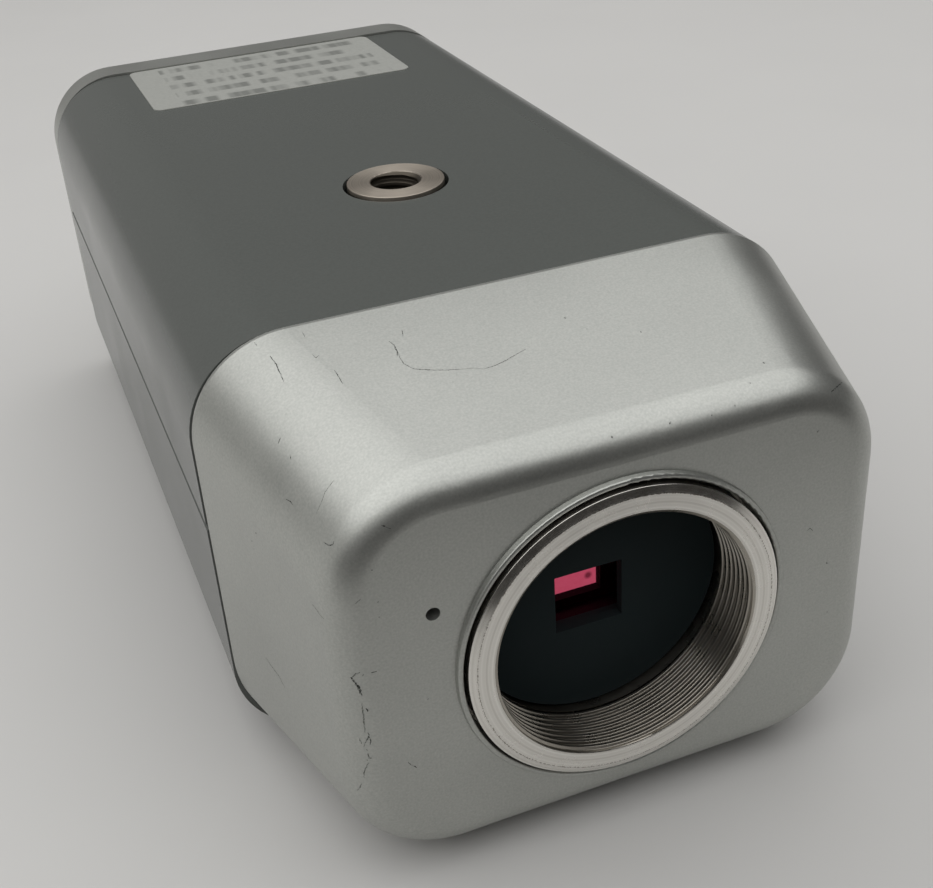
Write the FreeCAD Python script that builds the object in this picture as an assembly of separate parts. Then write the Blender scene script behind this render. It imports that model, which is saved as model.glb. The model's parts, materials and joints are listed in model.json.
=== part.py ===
"""CCTV box camera without its lens: nose, lens ring, sensor block, shells, boards and rear connections.

Millimetres. X is to the right seen from the front, Y runs from the lens to the rear, Z is up.
The origin is under the middle of the camera, on the surface that it stands on.
"""
import FreeCAD
import Part
import math
import os

# Outside of the camera
body_width = 63.5
body_height = 47.5
top_corner_r = 10.0
bottom_corner_r = 12.0
shell_corner_r = 10.1
cover_length = 96.5
panel_rim = 5.9
panel_plate = 2.2
panel_edge_r = 1.2

# Nose
nose_length = 25.1
nose_collar = 0.6
nose_rear_r = 0.25
front_taper_side = 5.5
front_taper_top = 4.1
front_bottom = 2.8
front_corner_r = 10.5
front_edge_r = 3.5
nose_wall = 2.6
front_wall = 2.4
cavity_edge_r = 3.0
lip_height = 0.55
lip_width = 0.5
lip_draft = 0.12
lip_edge_r = 0.22
pinhole_r = 0.65
pinhole_x = -17.85
pinhole_up = 8.0

# Shells
cover_step = 0.3
cover_proud = 0.15
cover_wall = 2.0
panel_gap = 0.2
side_seam = 28.3
seam_gap = 0.4
seam_groove = 0.6
tongue_length = 4.0
tongue_wall = 1.6
tongue_fit = 0.15
lap_height = 2.5
lap_root = 4.0
lap_wall = 1.2

# Lens ring and its optical axis
axis_height = 22.8
ring_proud = 1.05
ring_r = 15.45
ring_bevel = 0.74
ring_bevel_depth = 0.25
thread_r = 12.7
mouth_width = 0.39
mouth_depth = 0.3
thread_end = 5.8
spigot_r = 15.0
spigot_wall = 1.7
spigot_end = 10.2
ring_gap = 0.3
flange_overlap = 0.7
flange_thick = 1.5
flange_play = 0.2
turn_clearance = 0.3

# Ring retainer and guide pins
retainer_thick = 1.2
retainer_half_width = 21.5
retainer_half_height = 16.6
retainer_corner_r = 8.0
retainer_screw_x = 12.5
retainer_screw_up = 14.6
retainer_boss_r = 2.3
guide_pin_x = 19.3
guide_pin_r = 1.0
guide_clearance = 0.2
lock_screw_r = 1.25
lock_screw_recess = 0.35

# Sensor carriage: depths are measured from the ring's face
focus_travel = 0.5
mask_depth = 7.2
mask_thick = 1.0
window_width = 6.9
window_height = 6.4
window_x = -0.55
window_up = -0.27
tower_clearance = 0.4
skirt_wall = 1.7
ear_r = 2.6
ear_thick = 3.5
light_well_width = 9.6
light_well_height = 8.8
filter_recess = 2.75
filter_width = 10.6
filter_height = 9.6
filter_thick = 1.0
gasket_thick = 0.5
gasket_frame = 1.4
package_width = 12.4
package_height = 11.0
package_thick = 2.4
package_fit = 0.2
glass_thick = 0.7
glass_margin = 1.0
sensor_board_half_width = 17.0
sensor_board_half_height = 14.0
sensor_screw_x = 11.5
sensor_screw_up = 10.0

# Boards and the flat lead
board_thick = 1.6
board_tie_clearance = 1.0
main_board_z = 12.0
main_board_start = 10.0
main_board_rear_gap = 12.5
main_screw_x = 17.0
main_screw_inset = 3.5
main_boss_r = 2.6
ribbon_width = 16.0
ribbon_thick = 0.2
ribbon_slot = 0.6
ribbon_entry = 1.2
connector_width = 18.5
connector_depth = 3.0
connector_height = 2.4
rear_board_standoff = 7.0
rear_board_bottom = 7.0
rear_board_drop = 6.5
rear_screw_inset = 3.0
rear_post_r = 2.3

# Pieces on the boards
chip_size = 14.0
chip_height = 1.6
can_r = 3.2
can_height = 7.5
can_x = 14.0
can_pitch = 8.0
crystal_length = 11.0
crystal_width = 4.6
crystal_height = 3.5
crystal_edge_r = 2.2
crystal_offset = 15.7
header_length = 24.0
header_overlap = 3.0
header_height = 3.0
converter_size = 10.5
converter_depth = 8.0

# Screws
tie_inset_side = 7.5
tie_inset_top = 9.0
tie_inset_bottom = 10.5
tie_r = 1.5
tie_boss_r = 4.5
tie_boss_length = 8.0
tie_grip = 6.0
tie_head_r = 2.75
tie_head_height = 2.0
screw_hole_play = 0.15
small_screw_r = 1.0
small_head_r = 1.9
small_head_height = 1.3
board_screw_r = 1.1
board_head_r = 2.1
board_head_height = 1.6
drive_depth_share = 0.6
drive_width_share = 0.28

# Tripod socket
socket_y = 31.2
socket_collar_r = 5.6
socket_hole_gap = 0.5
socket_thread_r = 2.6
socket_mouth_r = 3.0
socket_mouth_depth = 0.4
socket_edge = 0.25
socket_spigot_r = 4.5
socket_flange_r = 6.5
socket_flange_thick = 1.2
bracket_length = 34.0
bracket_width = 16.0
bracket_thick = 1.5
bracket_drop = 3.0
bracket_screw_x = 12.0
bracket_boss_r = 3.2
bracket_screw_r = 1.25
bracket_head_r = 2.7
bracket_head_height = 1.8
bracket_screw_bite = 3.5

# Label on the upper face
label_left = -19.6
label_right = 17.5
label_length = 21.5
label_thick = 0.15

# Microphone
mic_r = 1.9
mic_length = 1.4
boot_r = 2.3
boot_length = 1.7

# Rear connections
jack_x = 11.5
jack_drop = 17.5
jack_barrel_r = 4.85
jack_barrel_length = 10.7
jack_bore_r = 4.1
jack_bore_depth = 8.6
jack_flange_r = 6.6
jack_flange_thick = 1.5
jack_body_r = 4.75
jack_lug_r = 0.95
jack_lug_height = 0.75
jack_lug_inset = 3.0
jack_insulator_r = 2.4
jack_contact_r = 0.68
jack_contact_hole = 1.05
jack_washer_r = 6.2
jack_washer_thick = 0.6
jack_nut_flat = 12.0
jack_nut_thick = 2.4
jack_tail = 5.2
power_x = -12.0
power_room = 3.1
power_body_width = 9.0
power_body_height = 10.0
power_barrel_r = 3.9
power_barrel_gap = 0.15
power_barrel_proud = 0.4
power_hole_r = 2.75
power_hole_depth = 9.0
power_pin_r = 1.0
power_pin_inset = 0.8
lamp_x = -1.5
lamp_drop = 11.0
lamp_r = 1.5
lamp_flange_r = 1.9
lamp_flange_thick = 1.0
lamp_proud = 0.9
lamp_gap = 0.15

# Menu buttons
pad_x = -10.0
pad_z = 15.0
pad_pitch = 5.6
button_r = 1.8
button_gap = 0.2
button_proud = 0.9
button_dish = 0.15
button_flange_r = 2.5
button_flange_thick = 0.9
button_flange_gap = 0.15
button_travel = 0.5
plunger_r = 1.4
plunger_gap = 0.3
plunger_entry = 0.6
switch_size = 4.6
switch_height = 4.0
plunger_rest = 0.5

# Iris selector and iris socket
selector_inset = 10.75
selector_z = 14.0
selector_travel = 2.0
selector_length = 10.0
selector_height = 4.6
selector_set_back = 2.0
selector_groove_length = 8.2
selector_groove_width = 2.4
selector_groove_depth = 1.6
selector_foot = 3.6
selector_tab = 2.6
selector_tab_width = 1.8
selector_foot_gap = 0.3
selector_proud = 0.8
selector_slot_end = 0.7
selector_slot_side = 0.4
iris_y = 22.0
iris_size = 9.2
iris_inner_x = 17.0
iris_set_back = 0.25
iris_gap = 0.25
iris_pin_pitch = 4.0
iris_hole_r = 0.7
iris_hole_depth = 6.2
iris_pin_r = 0.45
iris_pin_root = 3.0
iris_pin_inset = 1.2

# Places along the camera, worked out from the sizes above
overall_length = (ring_proud + nose_length + cover_length + panel_rim
                  + jack_flange_thick + jack_barrel_length)
ring_face_y = -overall_length / 2
front_y = ring_face_y + ring_proud
seam_y = front_y + nose_length
collar_y = seam_y - nose_collar
panel_y = seam_y + cover_length
rear_y = panel_y + panel_rim
plate_y = rear_y - panel_plate
half_width = body_width / 2
front_half = half_width - front_taper_side
front_top = body_height - front_taper_top
tie_x = half_width - tie_inset_side
tie_high = body_height - tie_inset_top
board_half_width = tie_x - tie_r - board_tie_clearance
selector_x = board_half_width - selector_inset
rear_board_top = body_height - rear_board_drop
jack_z = body_height - jack_drop
power_z = pad_z + pad_pitch + switch_size / 2 + power_room + power_body_height / 2
lamp_z = body_height - lamp_drop
opening_r = ring_r + ring_gap
flange_r = opening_r + flange_overlap
mouth_r = thread_r + mouth_width
relief_r = spigot_r - spigot_wall
tower_r = relief_r - tower_clearance
carriage_r = spigot_r + turn_clearance + skirt_wall
filter_depth = mask_depth + filter_recess
glass_depth = filter_depth + filter_thick + gasket_thick
carriage_end = glass_depth + glass_thick + package_thick
cover_top = body_height - cover_step
cover_half = half_width + cover_proud
wall_back_y = front_y + front_wall
flange_y = wall_back_y + flange_play
retainer_y = flange_y + flange_thick + flange_play
retainer_back_y = retainer_y + retainer_thick
rear_board_y = plate_y - rear_board_standoff
main_board_top = main_board_z + board_thick
main_board_stop = cover_length - main_board_rear_gap
switch_well = plunger_entry + button_travel + plunger_rest
socket_mid_y = seam_y + socket_y

X_AXIS = FreeCAD.Vector(1, 0, 0)
Y_AXIS = FreeCAD.Vector(0, 1, 0)
Z_AXIS = FreeCAD.Vector(0, 0, 1)


def vec(x, y, z):
    return FreeCAD.Vector(x, y, z)


def block(x0, x1, y0, y1, z0, z1):
    """Box between two corners."""
    return Part.makeBox(x1 - x0, y1 - y0, z1 - z0, vec(x0, y0, z0))


def rod_y(radius, y0, y1, x, z):
    """Cylinder along Y."""
    return Part.makeCylinder(radius, y1 - y0, vec(x, y0, z), Y_AXIS)


def rod_z(radius, z0, z1, x, y):
    """Cylinder along Z."""
    return Part.makeCylinder(radius, z1 - z0, vec(x, y, z0), Z_AXIS)


def rod_x(radius, x0, x1, y, z):
    """Cylinder along X."""
    return Part.makeCylinder(radius, x1 - x0, vec(x0, y, z), X_AXIS)


def turned_y(profile, x, z):
    """Solid of revolution about a Y axis from (radius, y) points."""
    points = [vec(x + radius, y, z) for radius, y in profile]
    face = Part.Face(Part.makePolygon(points + points[:1]))
    return face.revolve(vec(x, 0, z), Y_AXIS, 360)


def turned_z(profile, x, y):
    """Solid of revolution about a Z axis from (radius, z) points."""
    points = [vec(x + radius, y, z) for radius, z in profile]
    face = Part.Face(Part.makePolygon(points + points[:1]))
    return face.revolve(vec(x, y, 0), Z_AXIS, 360)


def joined(shapes):
    """One solid from several that meet."""
    first = shapes[0]
    return first.fuse(shapes[1:]).removeSplitter()


def group(shapes):
    """Several separate solids in one node."""
    return Part.makeCompound(shapes)


def save(name, shape):
    shape.exportStep("parts/" + name + ".step")


def outline(half, bottom, top, low_r, high_r, y):
    """Upright rounded rectangle at y, as a closed wire that starts at the lower left."""
    turn = math.sqrt(0.5)
    corners = [
        (half - low_r, bottom + low_r, low_r, 1, -1),
        (half - high_r, top - high_r, high_r, 1, 1),
        (high_r - half, top - high_r, high_r, -1, 1),
        (low_r - half, bottom + low_r, low_r, -1, -1),
    ]
    arcs = []
    for x, z, radius, side, rise in corners:
        across = vec(x + side * radius, y, z)
        along = vec(x, y, z + rise * radius)
        middle = vec(x + side * radius * turn, y, z + rise * radius * turn)
        first, last = (along, across) if side * rise < 0 else (across, along)
        arcs.append((first, middle, last))
    edges = []
    for index, (first, middle, last) in enumerate(arcs):
        edges.append(Part.Arc(first, middle, last).toShape())
        edges.append(Part.LineSegment(last, arcs[(index + 1) % len(arcs)][0]).toShape())
    return Part.Wire(edges)


def collar_outline(inset, y):
    """Outline of the nose collar and the rear panel, set in from the outside."""
    return outline(half_width - inset, inset, body_height - inset,
                   bottom_corner_r - inset, top_corner_r - inset, y)


def front_outline(inset, y):
    """Outline of the nose's front, before its edge is rounded."""
    return outline(front_half - inset, front_bottom + inset, front_top - inset,
                   front_corner_r - inset, front_corner_r - inset, y)


def cover_outline(inset, y):
    """Outline of the shells: a step below the collar on top, proud of it at the sides, sharper lower corners."""
    return outline(cover_half - inset, inset, cover_top - inset,
                   shell_corner_r - inset, top_corner_r - cover_step - inset, y)


def retainer_outline(room):
    """Outline of the plate behind the ring's flange, with room left round it."""
    half = retainer_half_width + room
    rise = retainer_half_height + room
    corner = retainer_corner_r + room
    return outline(half, axis_height - rise, axis_height + rise, corner, corner, retainer_y)


def prism(wire, length):
    return Part.Face(wire).extrude(vec(0, length, 0))


def rounded_front(solid, y, radius):
    """Round the edges of a solid that lie in the plane y."""
    edges = [edge for edge in solid.Edges
             if abs(edge.BoundBox.YMin - y) < 1e-4 and abs(edge.BoundBox.YMax - y) < 1e-4]
    return solid.makeFillet(radius, edges)


def tie_places():
    return [(side * tie_x, z) for side in (-1, 1) for z in (tie_inset_bottom, tie_high)]


def retainer_places():
    return [(side * retainer_screw_x, axis_height + rise * retainer_screw_up)
            for side in (-1, 1) for rise in (-1, 1)]


def sensor_screw_places():
    return [(side * sensor_screw_x, axis_height + rise * sensor_screw_up)
            for side in (-1, 1) for rise in (-1, 1)]


def main_screw_places():
    rows = (seam_y + main_board_start + main_screw_inset, seam_y + main_board_stop - main_screw_inset)
    return [(side * main_screw_x, y) for side in (-1, 1) for y in rows]


def rear_screw_places():
    x = board_half_width - rear_screw_inset
    rows = (rear_board_bottom + rear_screw_inset, rear_board_top - rear_screw_inset)
    return [(side * x, z) for side in (-1, 1) for z in rows]


def button_places():
    """Button names and centres, seen from the rear: left is at +X."""
    return {
        "up": (pad_x, pad_z + pad_pitch),
        "down": (pad_x, pad_z - pad_pitch),
        "left": (pad_x + pad_pitch, pad_z),
        "right": (pad_x - pad_pitch, pad_z),
        "set": (pad_x, pad_z),
    }


def cross_recess(head_r, head_height, top, direction, x, z):
    """Crossed slot in a screw head whose top lies at y = top and faces along direction."""
    half = head_r * drive_width_share / 2
    reach = head_r * drive_depth_share
    depth = head_height * drive_depth_share
    y0, y1 = sorted((top, top - direction * depth))
    flat = block(x - reach, x + reach, y0, y1, z - half, z + half)
    upright = block(x - half, x + half, y0, y1, z - reach, z + reach)
    return flat.fuse(upright)


def screw_y(radius, tip, seat, head_r, head_height, x, z):
    """Pan screw along Y: its shank runs from tip to seat and its head lies beyond the seat."""
    direction = 1 if seat > tip else -1
    top = seat + direction * head_height
    shank = rod_y(radius, min(tip, seat), max(tip, seat), x, z)
    head = rod_y(head_r, min(seat, top), max(seat, top), x, z)
    return joined([shank, head]).cut(cross_recess(head_r, head_height, top, direction, x, z))


def screw_z(radius, tip, seat, head_r, head_height, x, y):
    """Pan screw along Z, made along Y and turned upright."""
    screw = screw_y(radius, tip, seat, head_r, head_height, 0, 0)
    screw.rotate(vec(0, 0, 0), X_AXIS, 90)
    screw.translate(vec(x, y, 0))
    return screw


def tongue(start_y, length):
    """Locating rim that reaches from a collar into the shells."""
    outer = prism(cover_outline(cover_wall + tongue_fit, start_y), length)
    inner = prism(cover_outline(cover_wall + tongue_fit + tongue_wall, start_y), length)
    return outer.cut(inner)


def front_bezel():
    """Nose casting: collar, tapering walls, soft front edge, lens opening with its lip, bosses."""
    collar = prism(collar_outline(0, collar_y), nose_collar)
    taper = Part.makeLoft([collar_outline(0, collar_y), front_outline(0, front_y)], True, True)
    outer = rounded_front(joined([collar, taper]), front_y, front_edge_r)
    outer = rounded_front(outer, seam_y, nose_rear_r)
    cavity = Part.makeLoft([collar_outline(nose_wall, collar_y), front_outline(nose_wall, wall_back_y)],
                           True, True)
    cavity = rounded_front(cavity, wall_back_y, cavity_edge_r)
    throat = prism(cover_outline(cover_wall + tongue_fit + tongue_wall, collar_y), nose_collar)
    shell = outer.cut(cavity).cut(throat)

    lip_foot = opening_r + lip_width + lip_draft
    lip = turned_y([(opening_r, wall_back_y), (opening_r, front_y - lip_height),
                    (opening_r + lip_width, front_y - lip_height), (lip_foot, front_y),
                    (lip_foot, wall_back_y)], 0, axis_height)
    lip = rounded_front(lip, front_y - lip_height, lip_edge_r)
    bosses = [rod_y(tie_boss_r, seam_y - tie_boss_length, seam_y, x, z).common(outer)
              for x, z in tie_places()]
    pillars = [rod_y(retainer_boss_r, front_y + front_wall / 2, retainer_y, x, z).common(outer)
               for x, z in retainer_places()]
    body = joined([shell, lip, tongue(seam_y - tongue_wall, tongue_length + tongue_wall)]
                  + bosses + pillars)

    body = body.cut(rod_y(opening_r, front_y - 2 * lip_height, wall_back_y, 0, axis_height))
    body = body.cut(rod_y(flange_r + turn_clearance, wall_back_y, retainer_y, 0, axis_height))
    body = body.cut(prism(retainer_outline(turn_clearance), retainer_thick + small_head_height + turn_clearance))
    body = body.cut(rod_y(carriage_r + turn_clearance, retainer_back_y, seam_y + tongue_length, 0, axis_height))
    mic_z = axis_height + pinhole_up
    body = body.cut(rod_y(pinhole_r, front_y - lip_height, wall_back_y, pinhole_x, mic_z))
    body = body.cut(rod_y(boot_r, wall_back_y, wall_back_y + boot_length, pinhole_x, mic_z))
    for x, z in tie_places():
        body = body.cut(rod_y(tie_r, seam_y - tie_grip, seam_y, x, z))
    for x, z in retainer_places():
        body = body.cut(rod_y(small_screw_r, retainer_y - flange_thick, retainer_y, x, z))
    lock_y = flange_y + flange_thick / 2
    body = body.cut(rod_z(lock_screw_r, 0, axis_height - flange_r, 0, lock_y))
    save("front_bezel", body)


def lens_mount_ring():
    """Turned ring with the lens thread's bore, an outer bevel, a flange and a driving spigot."""
    face = ring_face_y
    profile = [
        (mouth_r, face),
        (thread_r, face + mouth_depth),
        (thread_r, face + thread_end),
        (relief_r, face + thread_end),
        (relief_r, face + spigot_end),
        (spigot_r, face + spigot_end),
        (spigot_r, flange_y + flange_thick),
        (flange_r, flange_y + flange_thick),
        (flange_r, flange_y),
        (ring_r, flange_y),
        (ring_r, face + ring_bevel_depth),
        (ring_r - ring_bevel, face),
    ]
    save("lens_mount_ring", turned_y(profile, 0, axis_height))


def mount_retainer():
    """Plate behind the ring's flange, with its screws, the guide pins and the ring's lock screw."""
    plate = prism(retainer_outline(0), retainer_thick)
    plate = plate.cut(rod_y(spigot_r + turn_clearance, retainer_y, retainer_back_y, 0, axis_height))
    screws = []
    for x, z in retainer_places():
        plate = plate.cut(rod_y(small_screw_r, retainer_y, retainer_back_y, x, z))
        screws.append(screw_y(small_screw_r, retainer_y - flange_thick, retainer_back_y,
                              small_head_r, small_head_height, x, z))
    pins = []
    for side in (-1, 1):
        plate = plate.cut(rod_y(guide_pin_r, retainer_y, retainer_back_y, side * guide_pin_x, axis_height))
        pins.append(rod_y(guide_pin_r, retainer_y, ring_face_y + carriage_end,
                          side * guide_pin_x, axis_height))
    save("mount_retainer", plate)
    save("retainer_screws", group(screws))
    save("guide_pins", group(pins))

    lock_y = flange_y + flange_thick / 2
    lock_top = axis_height - flange_r - turn_clearance
    lock_bottom = front_bottom + front_edge_r - math.sqrt(
        front_edge_r ** 2 - (front_y + front_edge_r - lock_y) ** 2) + lock_screw_recess
    socket_r = lock_screw_r / 2
    screw = rod_z(lock_screw_r, lock_bottom, lock_top, 0, lock_y)
    socket = Part.makePolygon([vec(socket_r * math.cos(math.radians(60 * turn)),
                                   lock_y + socket_r * math.sin(math.radians(60 * turn)), lock_bottom)
                               for turn in range(7)])
    drive = Part.Face(socket).extrude(vec(0, 0, (lock_top - lock_bottom) / 2))
    save("ring_lock_screw", screw.cut(drive))


def centred_block(width, height, y0, y1):
    """Box centred on the optical axis."""
    return block(-width / 2, width / 2, y0, y1, axis_height - height / 2, axis_height + height / 2)


def sensor_block():
    """Black carriage with its mask window, and the filter, gasket, sensor and board that it carries."""
    face = ring_face_y
    running = focus_travel + turn_clearance
    base_y = face + spigot_end + running
    end_y = face + carriage_end
    mask_y = face + mask_depth
    skirt_y = retainer_back_y + running
    base = rod_y(carriage_r, base_y, end_y, 0, axis_height)
    skirt = rod_y(carriage_r, skirt_y, base_y, 0, axis_height)
    skirt = skirt.cut(rod_y(spigot_r + turn_clearance, skirt_y, base_y, 0, axis_height))
    tower = rod_y(tower_r, mask_y, base_y, 0, axis_height)
    arms = []
    for side in (-1, 1):
        arms.append(rod_y(ear_r, end_y - ear_thick, end_y, side * guide_pin_x, axis_height))
        near, far = sorted((side * (carriage_r - ear_r), side * guide_pin_x))
        arms.append(block(near, far, end_y - ear_thick, end_y, axis_height - ear_r, axis_height + ear_r))
    carriage = joined([base, skirt, tower] + arms)

    filter_y = face + filter_depth
    gasket_y = filter_y + filter_thick
    glass_y = face + glass_depth
    package_y = glass_y + glass_thick
    window = centred_block(window_width, window_height, mask_y, mask_y + mask_thick)
    window.translate(vec(window_x, 0, window_up))
    carriage = carriage.cut(window)
    carriage = carriage.cut(centred_block(light_well_width, light_well_height, mask_y + mask_thick, filter_y))
    carriage = carriage.cut(centred_block(filter_width, filter_height, filter_y, glass_y))
    carriage = carriage.cut(centred_block(package_width + 2 * package_fit, package_height + 2 * package_fit,
                                          glass_y, end_y))
    for side in (-1, 1):
        carriage = carriage.cut(rod_y(guide_pin_r + guide_clearance, end_y - ear_thick, end_y,
                                      side * guide_pin_x, axis_height))
    board_y = end_y
    board_back = board_y + board_thick
    board = block(-sensor_board_half_width, sensor_board_half_width, board_y, board_back,
                  axis_height - sensor_board_half_height, axis_height + sensor_board_half_height)
    screws = []
    bite = end_y - ear_thick
    for x, z in sensor_screw_places():
        carriage = carriage.cut(rod_y(small_screw_r, bite, end_y, x, z))
        board = board.cut(rod_y(small_screw_r, board_y, board_back, x, z))
        screws.append(screw_y(small_screw_r, bite, board_back, small_head_r, small_head_height, x, z))
    save("sensor_carriage", carriage)
    save("sensor_board", board)
    save("sensor_screws", group(screws))
    save("ir_cut_filter", centred_block(filter_width, filter_height, filter_y, gasket_y))
    gasket = centred_block(filter_width, filter_height, gasket_y, glass_y)
    save("filter_gasket", gasket.cut(centred_block(filter_width - 2 * gasket_frame,
                                                   filter_height - 2 * gasket_frame, gasket_y, glass_y)))
    save("sensor_glass", centred_block(package_width - 2 * glass_margin, package_height - 2 * glass_margin,
                                       glass_y, package_y))
    save("sensor_package", centred_block(package_width, package_height, package_y, end_y))
    flat_lead(board_back)


def flat_lead(board_back):
    """Flat lead from the moving sensor board to the main board, and the two sockets that it enters."""
    lead_z = main_board_top + connector_height / 2
    half = connector_width / 2
    slot_half = (ribbon_width + 2 * ribbon_slot) / 2
    low = lead_z - connector_height / 2
    slot_low = lead_z - ribbon_slot / 2
    lead_end = board_back + connector_depth - ribbon_entry
    socket = block(-half, half, board_back, board_back + connector_depth, low, low + connector_height)
    slot = block(-slot_half, slot_half, lead_end - 2 * focus_travel, board_back + connector_depth,
                 slot_low, slot_low + ribbon_slot)
    save("sensor_connector", socket.cut(slot))
    board_front = seam_y + main_board_start
    main_socket = block(-half, half, board_front, board_front + connector_depth, low, low + connector_height)
    half_lead = ribbon_width / 2
    lead = block(-half_lead, half_lead, lead_end, board_front + ribbon_entry,
                 lead_z - ribbon_thick / 2, lead_z + ribbon_thick / 2)
    save("ribbon_socket", main_socket.cut(lead))
    save("sensor_ribbon", lead)


def microphone():
    """Small capsule in its rubber boot, behind the pinhole."""
    z = axis_height + pinhole_up
    boot = rod_y(boot_r, wall_back_y, wall_back_y + boot_length, pinhole_x, z)
    capsule_y = wall_back_y + boot_length - mic_length
    capsule = rod_y(mic_r, capsule_y, wall_back_y + boot_length, pinhole_x, z)
    boot = boot.cut(capsule).cut(rod_y(pinhole_r, wall_back_y, capsule_y, pinhole_x, z))
    save("mic_boot", boot)
    save("microphone", capsule)


def covers():
    """Upper and lower shells, with the groove along their side seam."""
    start = seam_y + panel_gap
    length = cover_length - 2 * panel_gap
    shell = prism(cover_outline(0, start), length).cut(prism(cover_outline(cover_wall, start), length))
    for side in (-1, 1):
        groove = block(-seam_groove / 2, seam_groove / 2, start, start + length,
                       -seam_groove / 2, seam_groove / 2)
        groove.rotate(vec(0, 0, 0), Y_AXIS, 45)
        groove.translate(vec(side * cover_half, 0, side_seam))
        shell = shell.cut(groove)
    above = block(-body_width, body_width, start, start + length, side_seam + seam_gap / 2, 2 * body_height)
    below = block(-body_width, body_width, start, start + length, -body_height, side_seam - seam_gap / 2)
    upper_cover(shell.common(above))
    lower_cover(shell.common(below), start, length)


def upper_cover(shell):
    """Upper shell with the tripod socket's hole and the bosses that its bracket hangs on."""
    ceiling = cover_top - cover_wall
    seat = ceiling - bracket_drop
    bosses = [rod_z(bracket_boss_r, seat, ceiling, side * bracket_screw_x, socket_mid_y) for side in (-1, 1)]
    cover = joined([shell] + bosses)
    cover = cover.cut(rod_z(socket_collar_r + socket_hole_gap, ceiling, cover_top, 0, socket_mid_y))
    screws = []
    bracket = block(-bracket_length / 2, bracket_length / 2, socket_mid_y - bracket_width / 2,
                    socket_mid_y + bracket_width / 2, seat - bracket_thick, seat)
    bracket = bracket.cut(rod_z(socket_spigot_r, seat - bracket_thick, seat, 0, socket_mid_y))
    for side in (-1, 1):
        x = side * bracket_screw_x
        cover = cover.cut(rod_z(bracket_screw_r, seat, seat + bracket_screw_bite, x, socket_mid_y))
        bracket = bracket.cut(rod_z(bracket_screw_r, seat - bracket_thick, seat, x, socket_mid_y))
        screws.append(screw_z(bracket_screw_r, seat + bracket_screw_bite, seat - bracket_thick,
                              bracket_head_r, bracket_head_height, x, socket_mid_y))
    save("upper_cover", cover)
    save("tripod_bracket", bracket)
    save("bracket_screws", group(screws))
    tripod_bushing(seat)
    label_stop = panel_y - panel_gap
    save("rating_label", block(label_left, label_right, label_stop - label_length, label_stop,
                               cover_top, cover_top + label_thick))


def tripod_bushing(seat):
    """Turned socket for a quarter inch tripod screw, clinched in the bracket under the cover."""
    foot = seat - bracket_thick - socket_flange_thick
    profile = [
        (socket_mouth_r, body_height),
        (socket_collar_r - socket_edge, body_height),
        (socket_collar_r, body_height - socket_edge),
        (socket_collar_r, seat),
        (socket_spigot_r, seat),
        (socket_spigot_r, seat - bracket_thick),
        (socket_flange_r, seat - bracket_thick),
        (socket_flange_r, foot),
        (socket_thread_r, foot),
        (socket_thread_r, body_height - socket_mouth_depth),
    ]
    save("tripod_bushing", turned_z(profile, 0, socket_mid_y))


def lower_cover(shell, start, length):
    """Lower shell with its lap inside the seam, the main board's bosses and the iris socket's hole."""
    inner = cover_half - cover_wall
    pieces = [shell]
    for side in (-1, 1):
        near, far = sorted((side * (inner - lap_wall), side * inner))
        pieces.append(block(near, far, start + tongue_length + lap_wall,
                            start + length - tongue_length - lap_wall,
                            side_seam - lap_root, side_seam - seam_gap / 2))
        near, far = sorted((side * (inner - lap_wall), side * (inner - tongue_fit)))
        pieces.append(block(near, far, start + tongue_length + lap_wall,
                            start + length - tongue_length - lap_wall,
                            side_seam - lap_root, side_seam + lap_height))
    for x, y in main_screw_places():
        pieces.append(rod_z(main_boss_r, cover_wall / 2, main_board_z, x, y))
    cover = joined(pieces)
    for x, y in main_screw_places():
        cover = cover.cut(rod_z(board_screw_r, main_board_z / 2, main_board_z, x, y))
    mid_y = seam_y + iris_y
    reach = iris_size / 2 + iris_gap
    cover = cover.cut(block(inner - lap_wall, body_width, mid_y - reach, mid_y + reach,
                            main_board_top - iris_gap, main_board_top + iris_size + iris_gap))
    save("lower_cover", cover)


def rear_panel():
    """Silver end piece: rim, plate, bosses for the long screws, posts and openings."""
    rim = prism(collar_outline(0, panel_y), panel_rim)
    rim = rounded_front(rim, rear_y, panel_edge_r)
    hollow = prism(cover_outline(cover_wall + tongue_fit + tongue_wall, panel_y), plate_y - panel_y)
    pieces = [rim.cut(hollow), tongue(panel_y - tongue_length, tongue_length + tongue_wall)]
    boss_y = plate_y - tie_head_height
    for x, z in tie_places():
        pieces.append(rod_y(tie_boss_r, boss_y, plate_y, x, z).common(rim))
    for x, z in rear_screw_places():
        pieces.append(rod_y(rear_post_r, rear_board_y, plate_y, x, z))
    panel = joined(pieces)
    for x, z in tie_places():
        panel = panel.cut(rod_y(tie_r + screw_hole_play, boss_y, rear_y, x, z))
        panel = panel.cut(rod_y(tie_head_r + screw_hole_play, plate_y, rear_y, x, z))
    for x, z in rear_screw_places():
        panel = panel.cut(rod_y(small_screw_r, rear_board_y, rear_board_y + ear_thick, x, z))
    for x, z in button_places().values():
        panel = panel.cut(rod_y(button_r + button_gap, plate_y, rear_y, x, z))
    panel = panel.cut(rod_y(jack_body_r, plate_y, rear_y, jack_x, jack_z))
    panel = panel.cut(rod_y(power_barrel_r + power_barrel_gap, plate_y, rear_y, power_x, power_z))
    panel = panel.cut(rod_y(lamp_r + lamp_gap, plate_y, rear_y, lamp_x, lamp_z))
    slot_half = (selector_tab + selector_travel) / 2 + selector_slot_end
    slot_side = selector_tab_width / 2 + selector_slot_side
    panel = panel.cut(block(selector_x - slot_half, selector_x + slot_half, plate_y, rear_y,
                            selector_z - slot_side, selector_z + slot_side))
    save("rear_panel", panel)


def tie_screws():
    """Long screws from the rear panel to the bezel's bosses."""
    save("tie_screws", group([screw_y(tie_r, seam_y - tie_grip, plate_y, tie_head_r, tie_head_height, x, z)
                              for x, z in tie_places()]))


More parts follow.
